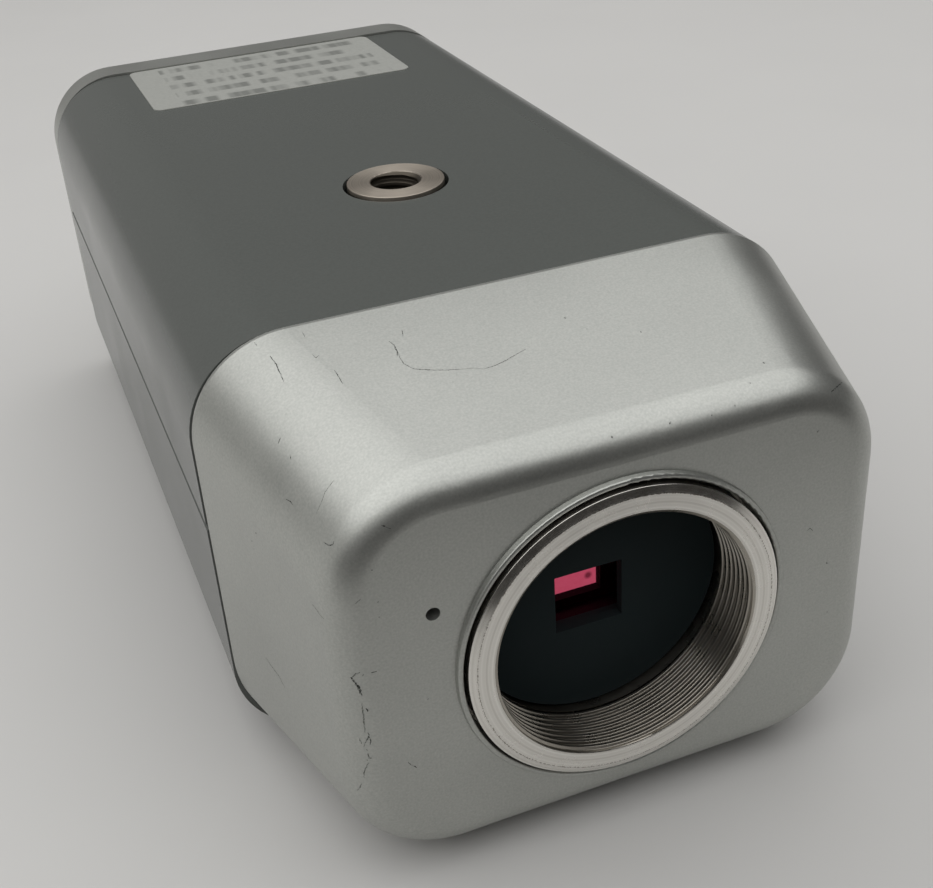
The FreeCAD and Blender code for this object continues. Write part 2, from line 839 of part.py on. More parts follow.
def main_board():
    """Board on the lower shell's bosses, with its screws, processor, capacitors, crystal and header."""
    front = seam_y + main_board_start
    back = seam_y + main_board_stop
    top = main_board_top
    board = block(-board_half_width, board_half_width, front, back, main_board_z, top)
    screws = []
    for x, y in main_screw_places():
        board = board.cut(rod_z(board_screw_r, main_board_z, top, x, y))
        screws.append(screw_z(board_screw_r, main_board_z / 2, top, board_head_r, board_head_height, x, y))
    save("main_board", board)
    save("board_screws", group(screws))
    middle = (front + back) / 2
    chip_half = chip_size / 2
    save("signal_processor", block(-chip_half, chip_half, middle - chip_half, middle + chip_half,
                                   top, top + chip_height))
    cans = [rod_z(can_r, top, top + can_height, side * can_x, middle + step * can_pitch)
            for side in (-1, 1) for step in (-1, 0, 1)]
    save("board_capacitors", group(cans))
    crystal_y = middle - crystal_offset
    crystal = block(-crystal_length / 2, crystal_length / 2, crystal_y - crystal_width / 2,
                    crystal_y + crystal_width / 2, top, top + crystal_height)
    upright = [edge for edge in crystal.Edges if edge.BoundBox.ZLength > crystal_height / 2]
    save("timing_crystal", crystal.makeFillet(crystal_edge_r, upright))
    save("board_header", block(-header_length / 2, header_length / 2, back - header_overlap,
                               rear_board_y - board_thick, top, top + header_height))


def rear_board():
    """Upright board behind the rear panel, with its screws, switches and voltage converter."""
    board = block(-board_half_width, board_half_width, rear_board_y - board_thick, rear_board_y,
                  rear_board_bottom, rear_board_top)
    screws = []
    for x, z in rear_screw_places():
        board = board.cut(rod_y(small_screw_r, rear_board_y - board_thick, rear_board_y, x, z))
        screws.append(screw_y(small_screw_r, rear_board_y + ear_thick, rear_board_y - board_thick,
                              small_head_r, small_head_height, x, z))
    save("rear_board", board)
    save("rear_board_screws", group(screws))
    reach = switch_size / 2
    switches = []
    for x, z in button_places().values():
        switch = block(x - reach, x + reach, rear_board_y, rear_board_y + switch_height, z - reach, z + reach)
        well = rod_y(plunger_r + plunger_gap, rear_board_y + switch_height - switch_well,
                     rear_board_y + switch_height, x, z)
        switches.append(switch.cut(well))
    save("tact_switches", group(switches))
    half = converter_size / 2
    board_front = rear_board_y - board_thick
    save("voltage_converter", block(power_x - half, power_x + half, board_front - converter_depth,
                                    board_front, power_z - half, power_z + half))


def menu_buttons():
    """Five round buttons with a flange behind the panel and a plunger in the switch."""
    flange_top = plate_y - button_flange_gap
    tip = rear_board_y + switch_height - plunger_entry
    crown = rear_y + button_proud
    for name, (x, z) in button_places().items():
        profile = [
            (0, tip),
            (plunger_r, tip),
            (plunger_r, flange_top - button_flange_thick),
            (button_flange_r, flange_top - button_flange_thick),
            (button_flange_r, flange_top),
            (button_r, flange_top),
            (button_r, crown - button_dish),
            (button_r - button_dish, crown),
            (button_r / 2, crown - button_dish / 2),
            (0, crown - button_dish),
        ]
        save("button_" + name, turned_y(profile, x, z))


def video_jack():
    """Bayonet video socket: shell, insulator, contact, washer and nut."""
    end = rear_y + jack_flange_thick + jack_barrel_length
    bore_y = end - jack_bore_depth
    tail_y = plate_y - jack_tail
    profile = [
        (jack_insulator_r, tail_y),
        (jack_body_r, tail_y),
        (jack_body_r, rear_y),
        (jack_flange_r, rear_y),
        (jack_flange_r, rear_y + jack_flange_thick),
        (jack_barrel_r, rear_y + jack_flange_thick),
        (jack_barrel_r, end),
        (jack_bore_r, end),
        (jack_bore_r, bore_y),
        (jack_insulator_r, bore_y),
    ]
    shell = turned_y(profile, jack_x, jack_z)
    middle_r = (jack_bore_r + jack_barrel_r) / 2
    lug_y = end - jack_lug_inset
    for side in (-1, 1):
        near, far = sorted((side * middle_r, side * (jack_barrel_r + jack_lug_height)))
        shell = shell.fuse(rod_x(jack_lug_r, jack_x + near, jack_x + far, lug_y, jack_z))
    save("video_jack_shell", shell.removeSplitter())

    insulator_end = end - jack_lug_inset
    contact_end = insulator_end - jack_lug_height
    insulator = turned_y([(jack_contact_r, rear_board_y), (jack_insulator_r, rear_board_y),
                          (jack_insulator_r, insulator_end), (jack_contact_hole, insulator_end),
                          (jack_contact_hole, bore_y), (jack_contact_r, bore_y)], jack_x, jack_z)
    save("video_jack_insulator", insulator)
    save("video_jack_contact", rod_y(jack_contact_r, rear_board_y, contact_end, jack_x, jack_z))
    washer = rod_y(jack_washer_r, plate_y - jack_washer_thick, plate_y, jack_x, jack_z)
    washer = washer.cut(rod_y(jack_body_r, plate_y - jack_washer_thick, plate_y, jack_x, jack_z))
    save("video_jack_washer", washer)
    nut_back = plate_y - jack_washer_thick
    nut_front = nut_back - jack_nut_thick
    corner = jack_nut_flat / math.sqrt(3)
    hexagon = Part.makePolygon([vec(jack_x + corner * math.cos(math.radians(60 * turn)), nut_front,
                                    jack_z + corner * math.sin(math.radians(60 * turn)))
                                for turn in range(7)])
    nut = Part.Face(hexagon).extrude(vec(0, jack_nut_thick, 0))
    save("video_jack_nut", nut.cut(rod_y(jack_body_r, nut_front, nut_back, jack_x, jack_z)))


def power_jack():
    """Barrel socket for the supply, with its centre pin, and the power lamp."""
    mouth = rear_y + power_barrel_proud
    half = power_body_width / 2
    rise = power_body_height / 2
    body = block(power_x - half, power_x + half, rear_board_y, plate_y, power_z - rise, power_z + rise)
    barrel = rod_y(power_barrel_r, plate_y - power_barrel_r, mouth, power_x, power_z)
    hole_y = mouth - power_hole_depth
    jack = joined([body, barrel]).cut(rod_y(power_hole_r, hole_y, mouth, power_x, power_z))
    pin = rod_y(power_pin_r, rear_board_y, mouth - power_pin_inset, power_x, power_z)
    save("power_jack_body", jack.cut(rod_y(power_pin_r, rear_board_y, hole_y, power_x, power_z)))
    save("power_jack_pin", pin)

    dome_y = rear_y + lamp_proud - lamp_r
    lamp = joined([
        rod_y(lamp_r, rear_board_y, dome_y, lamp_x, lamp_z),
        rod_y(lamp_flange_r, rear_board_y, rear_board_y + lamp_flange_thick, lamp_x, lamp_z),
        Part.makeSphere(lamp_r, vec(lamp_x, dome_y, lamp_z)),
    ])
    save("power_lamp", lamp)


def iris_selector():
    """Two place slide switch on the rear board, reached through a slot in the panel."""
    half = selector_length / 2
    rise = selector_height / 2
    top = plate_y - selector_set_back
    floor = top - selector_groove_depth
    groove_half = selector_groove_length / 2
    groove_rise = selector_groove_width / 2
    body = block(selector_x - half, selector_x + half, rear_board_y, top,
                 selector_z - rise, selector_z + rise)
    body = body.cut(block(selector_x - groove_half, selector_x + groove_half, floor, top,
                          selector_z - groove_rise, selector_z + groove_rise))
    save("iris_switch_body", body)
    start_x = selector_x - selector_travel / 2
    tab_rise = selector_tab_width / 2
    foot = block(start_x - selector_foot / 2, start_x + selector_foot / 2, floor + selector_foot_gap, top,
                 selector_z - tab_rise, selector_z + tab_rise)
    tab = block(start_x - selector_tab / 2, start_x + selector_tab / 2, floor + selector_foot_gap,
                rear_y + selector_proud, selector_z - tab_rise, selector_z + tab_rise)
    save("iris_switch_slider", joined([foot, tab]))


def iris_socket():
    """Square four way socket for a lens lead, on the main board's edge, through the lower shell."""
    mid_y = seam_y + iris_y
    mid_z = main_board_top + iris_size / 2
    half = iris_size / 2
    face_x = cover_half - iris_set_back
    socket = block(iris_inner_x, face_x, mid_y - half, mid_y + half, main_board_top,
                   main_board_top + iris_size)
    floor_x = face_x - iris_hole_depth
    pins = []
    for side in (-1, 1):
        for rise in (-1, 1):
            y = mid_y + side * iris_pin_pitch / 2
            z = mid_z + rise * iris_pin_pitch / 2
            socket = socket.cut(rod_x(iris_hole_r, floor_x, face_x, y, z))
            pin = rod_x(iris_pin_r, floor_x - iris_pin_root, face_x - iris_pin_inset, y, z)
            socket = socket.cut(pin)
            pins.append(pin)
    save("iris_socket", socket)
    save("iris_contacts", group(pins))


def main():
    os.makedirs("parts", exist_ok=True)
    front_bezel()
    lens_mount_ring()
    mount_retainer()
    sensor_block()
    microphone()
    covers()
    rear_panel()
    tie_screws()
    main_board()
    rear_board()
    menu_buttons()
    video_jack()
    power_jack()
    iris_selector()
    iris_socket()


main()
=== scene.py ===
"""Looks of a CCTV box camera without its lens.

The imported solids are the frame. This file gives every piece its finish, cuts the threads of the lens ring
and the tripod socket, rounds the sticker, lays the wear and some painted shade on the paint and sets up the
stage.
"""
import json
import math
import random

import bmesh
import bpy
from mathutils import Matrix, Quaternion, Vector
from mathutils.bvhtree import BVHTree

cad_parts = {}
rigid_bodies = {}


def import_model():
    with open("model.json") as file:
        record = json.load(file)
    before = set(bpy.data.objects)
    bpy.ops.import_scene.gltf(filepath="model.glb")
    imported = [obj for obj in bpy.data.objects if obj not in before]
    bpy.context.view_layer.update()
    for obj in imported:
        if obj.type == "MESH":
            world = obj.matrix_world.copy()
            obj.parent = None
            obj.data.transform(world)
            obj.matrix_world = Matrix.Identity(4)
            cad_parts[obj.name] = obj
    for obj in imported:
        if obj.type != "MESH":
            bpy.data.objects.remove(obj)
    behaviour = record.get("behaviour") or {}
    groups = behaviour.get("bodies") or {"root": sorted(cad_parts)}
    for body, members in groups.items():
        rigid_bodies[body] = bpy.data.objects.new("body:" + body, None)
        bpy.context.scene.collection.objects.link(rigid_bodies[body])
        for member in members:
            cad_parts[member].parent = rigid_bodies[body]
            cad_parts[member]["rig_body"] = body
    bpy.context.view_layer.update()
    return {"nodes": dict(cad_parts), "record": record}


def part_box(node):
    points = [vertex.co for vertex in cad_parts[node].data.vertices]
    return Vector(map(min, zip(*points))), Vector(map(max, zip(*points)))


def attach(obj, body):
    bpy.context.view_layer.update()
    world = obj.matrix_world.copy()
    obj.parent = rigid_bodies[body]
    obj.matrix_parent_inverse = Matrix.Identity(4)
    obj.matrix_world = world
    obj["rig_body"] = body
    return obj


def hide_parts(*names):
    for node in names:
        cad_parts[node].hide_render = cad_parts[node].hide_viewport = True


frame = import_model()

bl_info = {
    "name": "Box camera looks",
    "version": (1, 0, 0),
    "blender": (4, 5, 0),
    "location": "3D View > Sidebar > Box camera",
    "description": "Finishes, threads, wear and stage of a CCTV box camera",
    "category": "Object",
}

MM = 0.001
INCH = 25.4
MOUNTS = {mount["name"]: mount for mount in frame["record"]["mounts"]}
SLOTS = {part["node"]: part["material_slot"] for part in frame["record"]["subparts"]}

# Size of the photograph in pixels, and the width of the sensor that its focal length is given for
PICTURE_WIDTH = 933
PICTURE_HEIGHT = 888
SENSOR_WIDTH = 36

# Edges that turn by more than this stay sharp
SHARP_ANGLE = math.radians(35.0)

# Span in which nearly all values of a noise lie
NOISE_SPAN = {"From Min": 0.3, "From Max": 0.7}

# Scratches that the photograph shows on the nose: width in millimetres, then the pixels along each
DARK_SCRATCHES = [
    (0.13, [(389, 341), (394, 345), (397, 351), (398, 356)]),
    (0.10, [(398, 352), (400, 358), (404, 364), (414, 369), (430, 370), (448, 370), (464, 369)]),
    (0.09, [(484, 369), (494, 366), (505, 361), (515, 355), (526, 349)]),
    (0.12, [(270, 356), (276, 364), (280, 373), (284, 382)]),
    (0.10, [(334, 370), (339, 377), (343, 384)]),
    (0.08, [(402, 330), (403, 337)]),
    (0.08, [(254, 342), (257, 346)]),
    (0.08, [(302, 332), (305, 337)]),
    (0.07, [(312, 354), (316, 358), (319, 355)]),
    (0.09, [(278, 444), (281, 437)]),
    (0.09, [(290, 454), (291, 460)]),
    (0.10, [(286, 499), (290, 501), (293, 505)]),
    (0.10, [(324, 542), (328, 545), (333, 545), (334, 541)]),
    (0.12, [(381, 525), (386, 527), (391, 529)]),
    (0.26, [(351, 677), (356, 684), (360, 690), (362, 696)]),
    (0.16, [(352, 677), (356, 674), (360, 672)]),
    (0.12, [(371, 673), (374, 672), (377, 671)]),
    (0.14, [(366, 708), (368, 711), (369, 711)]),
    (0.13, [(368, 732), (369, 736), (365, 743), (364, 747)]),
    (0.11, [(369, 736), (371, 741), (370, 745)]),
    (0.13, [(368, 753), (369, 758), (372, 758)]),
    (0.10, [(408, 762), (411, 765), (414, 766), (417, 768)]),
    (0.14, [(831, 392), (834, 389), (838, 386), (842, 382)]),
    (0.08, [(807, 531), (810, 528), (813, 531)]),
]
FAINT_SCRATCHES = [
    (0.08, [(334, 480), (325, 492), (322, 501), (316, 514)]),
    (0.10, [(312, 604), (317, 610), (320, 615), (324, 619)]),
    (0.14, [(266, 658), (272, 667), (279, 676), (285, 688)]),
    (0.15, [(362, 703), (363, 712), (364, 722), (365, 733)]),
    (0.12, [(359, 738), (362, 744)]),
    (0.15, [(369, 762), (366, 768), (364, 773), (364, 778)]),
    (0.12, [(362, 783), (360, 787), (357, 791)]),
    (0.07, [(464, 369), (474, 368), (484, 369)]),
    (0.09, [(355, 604), (361, 599)]),
]
# Chips in the nose's paint, and dark specks along the right of the front edge that are partly painted shade
# dimming its
# highlight: width in millimetres, then the pixel that each lies under
CHIPS_AND_SHADE_SPECKS = [
    (0.16, (362, 318)), (0.10, (453, 382)), (0.09, (457, 375)), (0.10, (456, 367)), (0.12, (286, 414)),
    (0.20, (256, 533)), (0.16, (252, 541)), (0.12, (254, 549)), (0.12, (397, 355)),
    (0.18, (363, 675)), (0.14, (367, 750)), (0.12, (367, 760)), (0.12, (428, 699)),
    (0.14, (378, 602)), (0.12, (379, 617)), (0.12, (372, 570)),
    (0.22, (565, 318)), (0.26, (612, 437)), (0.22, (670, 423)), (0.18, (735, 406)), (0.26, (764, 363)),
    (0.16, (750, 383)), (0.22, (818, 431)), (0.26, (827, 563)), (0.14, (827, 612)), (0.14, (641, 332)),
    (0.10, (587, 329)), (0.10, (779, 393)), (0.20, (712, 415)),
]
# Pixel of the darker spot on the filter glass
DARK_SPOT = (588, 575)


def linear(code):
    """Linear colour from an sRGB hex value such as #A0A0A0."""
    shares = [int(code[begin:begin + 2], 16) / 255 for begin in (1, 3, 5)]
    return [share / 12.92 if share <= 0.04045 else ((share + 0.055) / 1.055) ** 2.4
            for share in shares] + [1.0]


def shades(dark, light):
    """The darker and the lighter tone of a finish, from two sRGB hex values."""
    return linear(dark), linear(light)


def per_mm(size):
    """Texture scale, in repeats for each metre, of a pattern that is size millimetres across."""
    return 1 / (size * MM)


def colour(name, code, description):
    """Colour that a user can change, with an sRGB hex value as its default."""
    return bpy.props.FloatVectorProperty(name=name, description=description, default=linear(code),
                                         subtype="COLOR", size=4, min=0, max=1)


def length(name, size, description):
    """Length that a user can change, with its default in millimetres."""
    return bpy.props.FloatProperty(name=name, description=description, default=size * MM,
                                   subtype="DISTANCE", unit="LENGTH")


def pattern(name, size, description):
    """Size of a pattern that a user can change, a plain number of millimetres."""
    return bpy.props.FloatProperty(name=name, description=description, default=size, min=0.01)


def strength(name, level, description):
    """Strength of a light that a user can change."""
    return bpy.props.FloatProperty(name=name, description=description, default=level, min=0.0)


def position(name, spot, description):
    """Position that a user can change, with its default in millimetres."""
    return bpy.props.FloatVectorProperty(name=name, description=description, size=3, subtype="XYZ",
                                         unit="LENGTH", default=[part * MM for part in spot])


class NoseLook(bpy.types.PropertyGroup):
    """Silver lacquer of the nose and the rear panel."""
    paint_dark: colour("Paint, dark", "#A2A4A0", "Darker tone between the flakes")
    paint_light: colour("Paint, light", "#C3C4BF", "Lighter tone of the flakes")
    dirt: colour("Dirt", "#4E4E4A", "Colour of the specks of dirt")
    flake_size: pattern("Flake size", 0.22, "Width of a flake, drawn coarser than it is so that it shows")
    peel_size: pattern("Ripple size", 1.1, "Width of the sprayed ripple")
    cloud_size: pattern("Cloud size", 14.0, "Width of a handled patch")
    speck_spacing: pattern("Speck spacing", 2.4, "Distance between specks of dirt")
    speck_size: pattern("Speck size", 0.14, "Radius of the largest speck")


class ShellLook(bpy.types.PropertyGroup):
    """Grey lacquer of the two shells."""
    paint_dark: colour("Paint, dark", "#4D504D", "Darker tone of the grain")
    paint_light: colour("Paint, light", "#575A57", "Lighter tone of the grain")
    grain_size: pattern("Grain size", 0.3, "Width of the lacquer's grain")
    cloud_size: pattern("Cloud size", 18.0, "Width of a handled patch")


class RingLook(bpy.types.PropertyGroup):
    """Turned aluminium lens ring and the coated glass behind it."""
    metal_dark: colour("Metal, dark", "#C4C0B8", "Tone in the turned grooves")
    metal_light: colour("Metal, light", "#FFFDF8", "Tone on the turned crests")
    # Thread tone: the cut thread's own tone, also laid as painted shade on the outer wall deep in the gap
    # behind the lip
    thread_tone_and_shade: colour("Thread", "#ADA89F", "Tone of the cut thread")
    grime: colour("Grime", "#6E665C", "Colour of the dirt along the bevel")
    filter_dark: colour("Filter, dark", "#EE5A7C", "Darker tone of the coated glass")
    filter_light: colour("Filter, light", "#F5698A", "Lighter tone of the coated glass")
    # Darker round spot on the coated glass, laid at one pixel of the view
    dark_spot: colour("Smudge", "#7A2438", "Colour of the smudge on the coated glass")
    dark_spot_radius: length("Smudge radius", 0.5, "Radius of the smudge")
    line_size: pattern("Line size", 0.25, "Width of a turned line")
    stain_size: pattern("Stain size", 2.5, "Width of a dull patch")
    grime_size: pattern("Grime size", 0.16, "Width of a speck of dirt")
    grime_reach: length("Grime reach", 0.16, "How far the dirt reaches from the bevel's edge")
    edge_radius: length("Edge radius", 14.71, "Radius of the bevel's inner edge")
    face_start: length("Face start", 13.05, "Radius at which the face begins")
    # Below this depth the ring's outer wall takes the thread tone, as painted shade in the gap behind the
    # lip
    unshaded_depth: length("Open depth", 0.55, "Depth to which the outer edge is worn bright")
    face_radius: length("Radius", 15.45, "Outer radius of the ring in front of its flange")
    bevel_width: length("Bevel width", 0.74, "Width of the outer bevel")
    bevel_depth: length("Bevel depth", 0.25, "Depth of the outer bevel")
    mouth_width: length("Mouth width", 0.39, "Width of the chamfer at the thread's mouth")
    mouth_depth: length("Mouth depth", 0.3, "Depth of the chamfer at the thread's mouth")
    edge_ease: length("Edge ease", 0.04, "How far each edge is eased")
    thread_end: length("Thread end", 5.8, "Depth at which the thread stops")
    thread_pitch: length("Thread pitch", INCH / 32, "Pitch of the lens thread, 32 to the inch")
    thread_depth: length("Thread depth", 0.3, "Depth of the lens thread from crest to root")
    spigot_radius: length("Spigot radius", 15.0, "Radius of the ring behind its flange")
    spigot_wall: length("Spigot wall", 1.7, "Wall of the ring behind its thread")
    flange_depth: length("Flange depth", 3.65, "Depth of the flange's front face")
    flange_thickness: length("Flange thickness", 1.5, "Thickness of the flange")


class SocketLook(bpy.types.PropertyGroup):
    """Plated tripod socket, and the plating of the jacks."""
    metal_dark: colour("Plate, dark", "#9C9388", "Tone in the turned grooves")
    metal_light: colour("Plate, light", "#C8BFB3", "Tone on the turned crests")
    # Thread tone: painted shade, dark enough to make the hole look deep, also laid on the collar's side in
    # the gap round it
    thread_tone_and_shade: colour("Thread", "#5A544C", "Tone of the cut thread")
    grime: colour("Grime", "#5E574F", "Colour of the dirt round the mouth")
    line_size: pattern("Line size", 0.15, "Width of a turned line")
    stain_size: pattern("Stain size", 1.5, "Width of a dull patch")
    grime_size: pattern("Grime size", 0.5, "Width of a speck of dirt")
    grime_reach: length("Grime reach", 0.12, "How far the dirt reaches from the mouth's edge")
    edge_radius: length("Edge radius", 3.0, "Radius of the mouth at the face")
    face_start: length("Face start", 2.96, "Radius at which the face begins")
    # Below this depth the collar's side takes the thread tone, as painted shade in the gap round the socket
    unshaded_depth: length("Open depth", 0.5, "Depth to which the outer edge is worn bright")
    edge_ease: length("Edge ease", 0.08, "How far each edge is eased")
    mouth_depth: length("Mouth depth", 0.4, "Depth of the chamfer at the mouth")
    collar_radius: length("Collar radius", 5.6, "Radius of the collar in the shell's hole")
    spigot_radius: length("Spigot radius", 4.5, "Radius of the neck in the bracket")
    thread_pitch: length("Thread pitch", INCH / 20, "Pitch of the tripod thread, 20 to the inch")
    thread_depth: length("Thread depth", 0.55, "Depth of the tripod thread from crest to root")


class LabelLook(bpy.types.PropertyGroup):
    """Sticker on the upper shell."""
    film_dark: colour("Film, dark", "#93948F", "Darker tone of the film")
    film_light: colour("Film, light", "#A5A6A1", "Lighter tone of the film")
    ink: colour("Ink", "#5C5E5A", "Colour of the worn print")
    row_pitch: pattern("Row pitch", 4.4, "Distance between rows of print")
    row_height: pattern("Row height", 2.3, "Height of a row of print")
    stroke_size: pattern("Stroke size", 1.7, "Width of a stroke of print")
    print_left: length("Print left", -15.5, "Left end of the print")
    print_right: length("Print right", 15.0, "Right end of the print")
    corner_radius: length("Corner radius", 1.2, "Radius of the sticker's corners")
    edge_ease: length("Edge ease", 0.05, "How far the sticker's edge is eased")


class WearLook(bpy.types.PropertyGroup):
    """Scratches and chips on the nose."""
    # The dark mark is also laid as painted shade in the specks that dim the front edge's highlight on the
    # right
    dark: colour("Dark mark", "#3C3D39", "Colour of dirt in a scratch or chip")
    faint: colour("Faint mark", "#6E706A", "Colour of a rubbed place")
    lift: length("Lift", 0.014, "Height of a mark's burr above the paint")
    step: bpy.props.FloatProperty(
        name="Step", description="Pixels between the points of a scratch", default=1.0, min=0.1)
    seed: bpy.props.IntProperty(
        name="Seed", description="Start of the random outlines", default=7)


class StageLook(bpy.types.PropertyGroup):
    """Floor, light and the photograph's view."""
    floor_colour: colour("Floor", "#C9C8C6", "Colour of the floor")
    room_colour: colour("Room", "#D6D5D2", "Colour of the soft light all round")
    left_level: strength("Left level", 0.56, "Strength of the room's light on the left")
    right_level: strength("Right level", 0.03, "Strength of the room's light on the right")
    flag_dark: colour("Flag, dark", "#2A2826", "Darker tone of the dark board in front of the nose")
    flag_light: colour("Flag, light", "#383532", "Lighter tone of the dark board in front of the nose")
    flag_height: length("Flag height", 80, "Height of the dark board")
    flag_width: length("Flag width", 800, "Width of the dark board")
    flag_reach: length("Flag reach", 150, "How far forward of the frame's origin the dark board stands")
    box_width: length("Soft box width", 2300, "Size of the soft box across")
    box_length: length("Soft box length", 1800, "Size of the soft box from front to rear")
    box_level: strength("Soft box level", 1.23, "Radiance of the soft box")
    box_place: position("Soft box place", (-200, -150, 800), "Middle of the soft box")
    view_place: position("View place", (-44.5, -154.7, 100.5), "Where the photograph was taken from")
    view_aim: position("View aim", (1.89, -25.5, 18.37), "A point in the middle of the view")
    view_roll: bpy.props.FloatProperty(
        name="View roll", description="Lean of the view", subtype="ANGLE", unit="ROTATION",
        default=math.radians(-4.0))
    view_lens: bpy.props.FloatProperty(
        name="View lens", description="Focal length in millimetres", default=52.15, min=1.0)


def add(tree, kind, links=None, **settings):
    """Add one shader node; links maps its sockets to values, or to the nodes or outputs that feed them.

    Every Mix node in this file mixes colours.
    """
    node = tree.nodes.new("ShaderNode" + kind)
    if kind == "Mix":
        node.data_type = "RGBA"
    for name, value in settings.items():
        setattr(node, name, value)
    for key, value in (links or {}).items():
        named = [socket for socket in node.inputs if socket.enabled and socket.name == key]
        socket = named[0] if named else node.inputs[key]
        if isinstance(value, bpy.types.Node):
            value = next(output for output in value.outputs if output.enabled)
        if isinstance(value, bpy.types.NodeSocket):
            tree.links.new(value, socket)
        else:
            socket.default_value = value
    return node


def start(name):
    """Empty material, its node tree and its coordinates in metres of the box camera's frame."""
    material = bpy.data.materials.new(name)
    material.use_nodes = True
    tree = material.node_tree
    tree.nodes.clear()
    return material, tree, add(tree, "TexCoord").outputs["Object"]


def finish(material, links):
    """Close a material with its surface shader."""
    tree = material.node_tree
    shader = add(tree, "BsdfPrincipled", links)
    add(tree, "OutputMaterial", {"Surface": shader})
    return material


def silver_lacquer(look):
    """Silver flake lacquer, sprayed on a casting: flakes give a broad soft shine and a fine sparkle."""
    clean_share = 0.72
    flake_height = 0.25
    material, tree, place = start("silver_flake_lacquer")
    flake = add(tree, "TexNoise", {"Vector": place, "Scale": per_mm(look.flake_size), "Detail": 2.0})
    cloud = add(tree, "TexNoise", {"Vector": place, "Scale": per_mm(look.cloud_size), "Detail": 3.0})
    tint = add(tree, "Mix", {"Factor": flake, "A": look.paint_dark, "B": look.paint_light})
    clouded = add(tree, "MapRange", {"Value": cloud, **NOISE_SPAN, "To Min": 0.93, "To Max": 1.04})
    toned = add(tree, "Mix", {"Factor": 1.0, "A": tint, "B": clouded}, blend_type="MULTIPLY")
    cell = add(tree, "TexVoronoi", {"Vector": place, "Scale": per_mm(look.speck_spacing)})
    chance = add(tree, "SeparateColor", {"Color": cell.outputs["Color"]})
    reach = add(tree, "MapRange", {"Value": chance.outputs["Red"], "From Min": clean_share,
                                   "To Max": look.speck_size / look.speck_spacing})
    speck = add(tree, "Math", {0: cell, 1: reach}, operation="LESS_THAN")
    dusted = add(tree, "Math", {0: speck, 1: chance.outputs["Green"]}, operation="MULTIPLY")
    dirty = add(tree, "Mix", {"Factor": dusted, "A": toned, "B": look.dirt})
    rough = add(tree, "MapRange", {"Value": cloud, **NOISE_SPAN, "To Min": 0.34, "To Max": 0.40})
    peel = add(tree, "TexNoise", {"Vector": place, "Scale": per_mm(look.peel_size), "Detail": 1.0})
    heights = add(tree, "Math", {0: flake, 1: flake_height, 2: peel}, operation="MULTIPLY_ADD")
    bump = add(tree, "Bump", {"Height": heights, "Strength": 0.2, "Distance": 0.02 * MM})
    return finish(material, {"Base Color": dirty, "Metallic": 0.85, "Roughness": rough, "Normal": bump})


def grey_lacquer(look):
    """Dark grey satin lacquer, sprayed on sheet: even and soft, and pale at a low angle."""
    material, tree, place = start("dark_grey_satin_lacquer")
    grain = add(tree, "TexNoise", {"Vector": place, "Scale": per_mm(look.grain_size), "Detail": 2.0})
    cloud = add(tree, "TexNoise", {"Vector": place, "Scale": per_mm(look.cloud_size), "Detail": 3.0})
    tint = add(tree, "Mix", {"Factor": grain, "A": look.paint_dark, "B": look.paint_light})
    rough = add(tree, "MapRange", {"Value": cloud, **NOISE_SPAN, "To Min": 0.20, "To Max": 0.25})
    bump = add(tree, "Bump", {"Height": grain, "Strength": 0.1, "Distance": 0.02 * MM})
    return finish(material, {"Base Color": tint, "Roughness": rough, "Normal": bump, "IOR": 1.5})


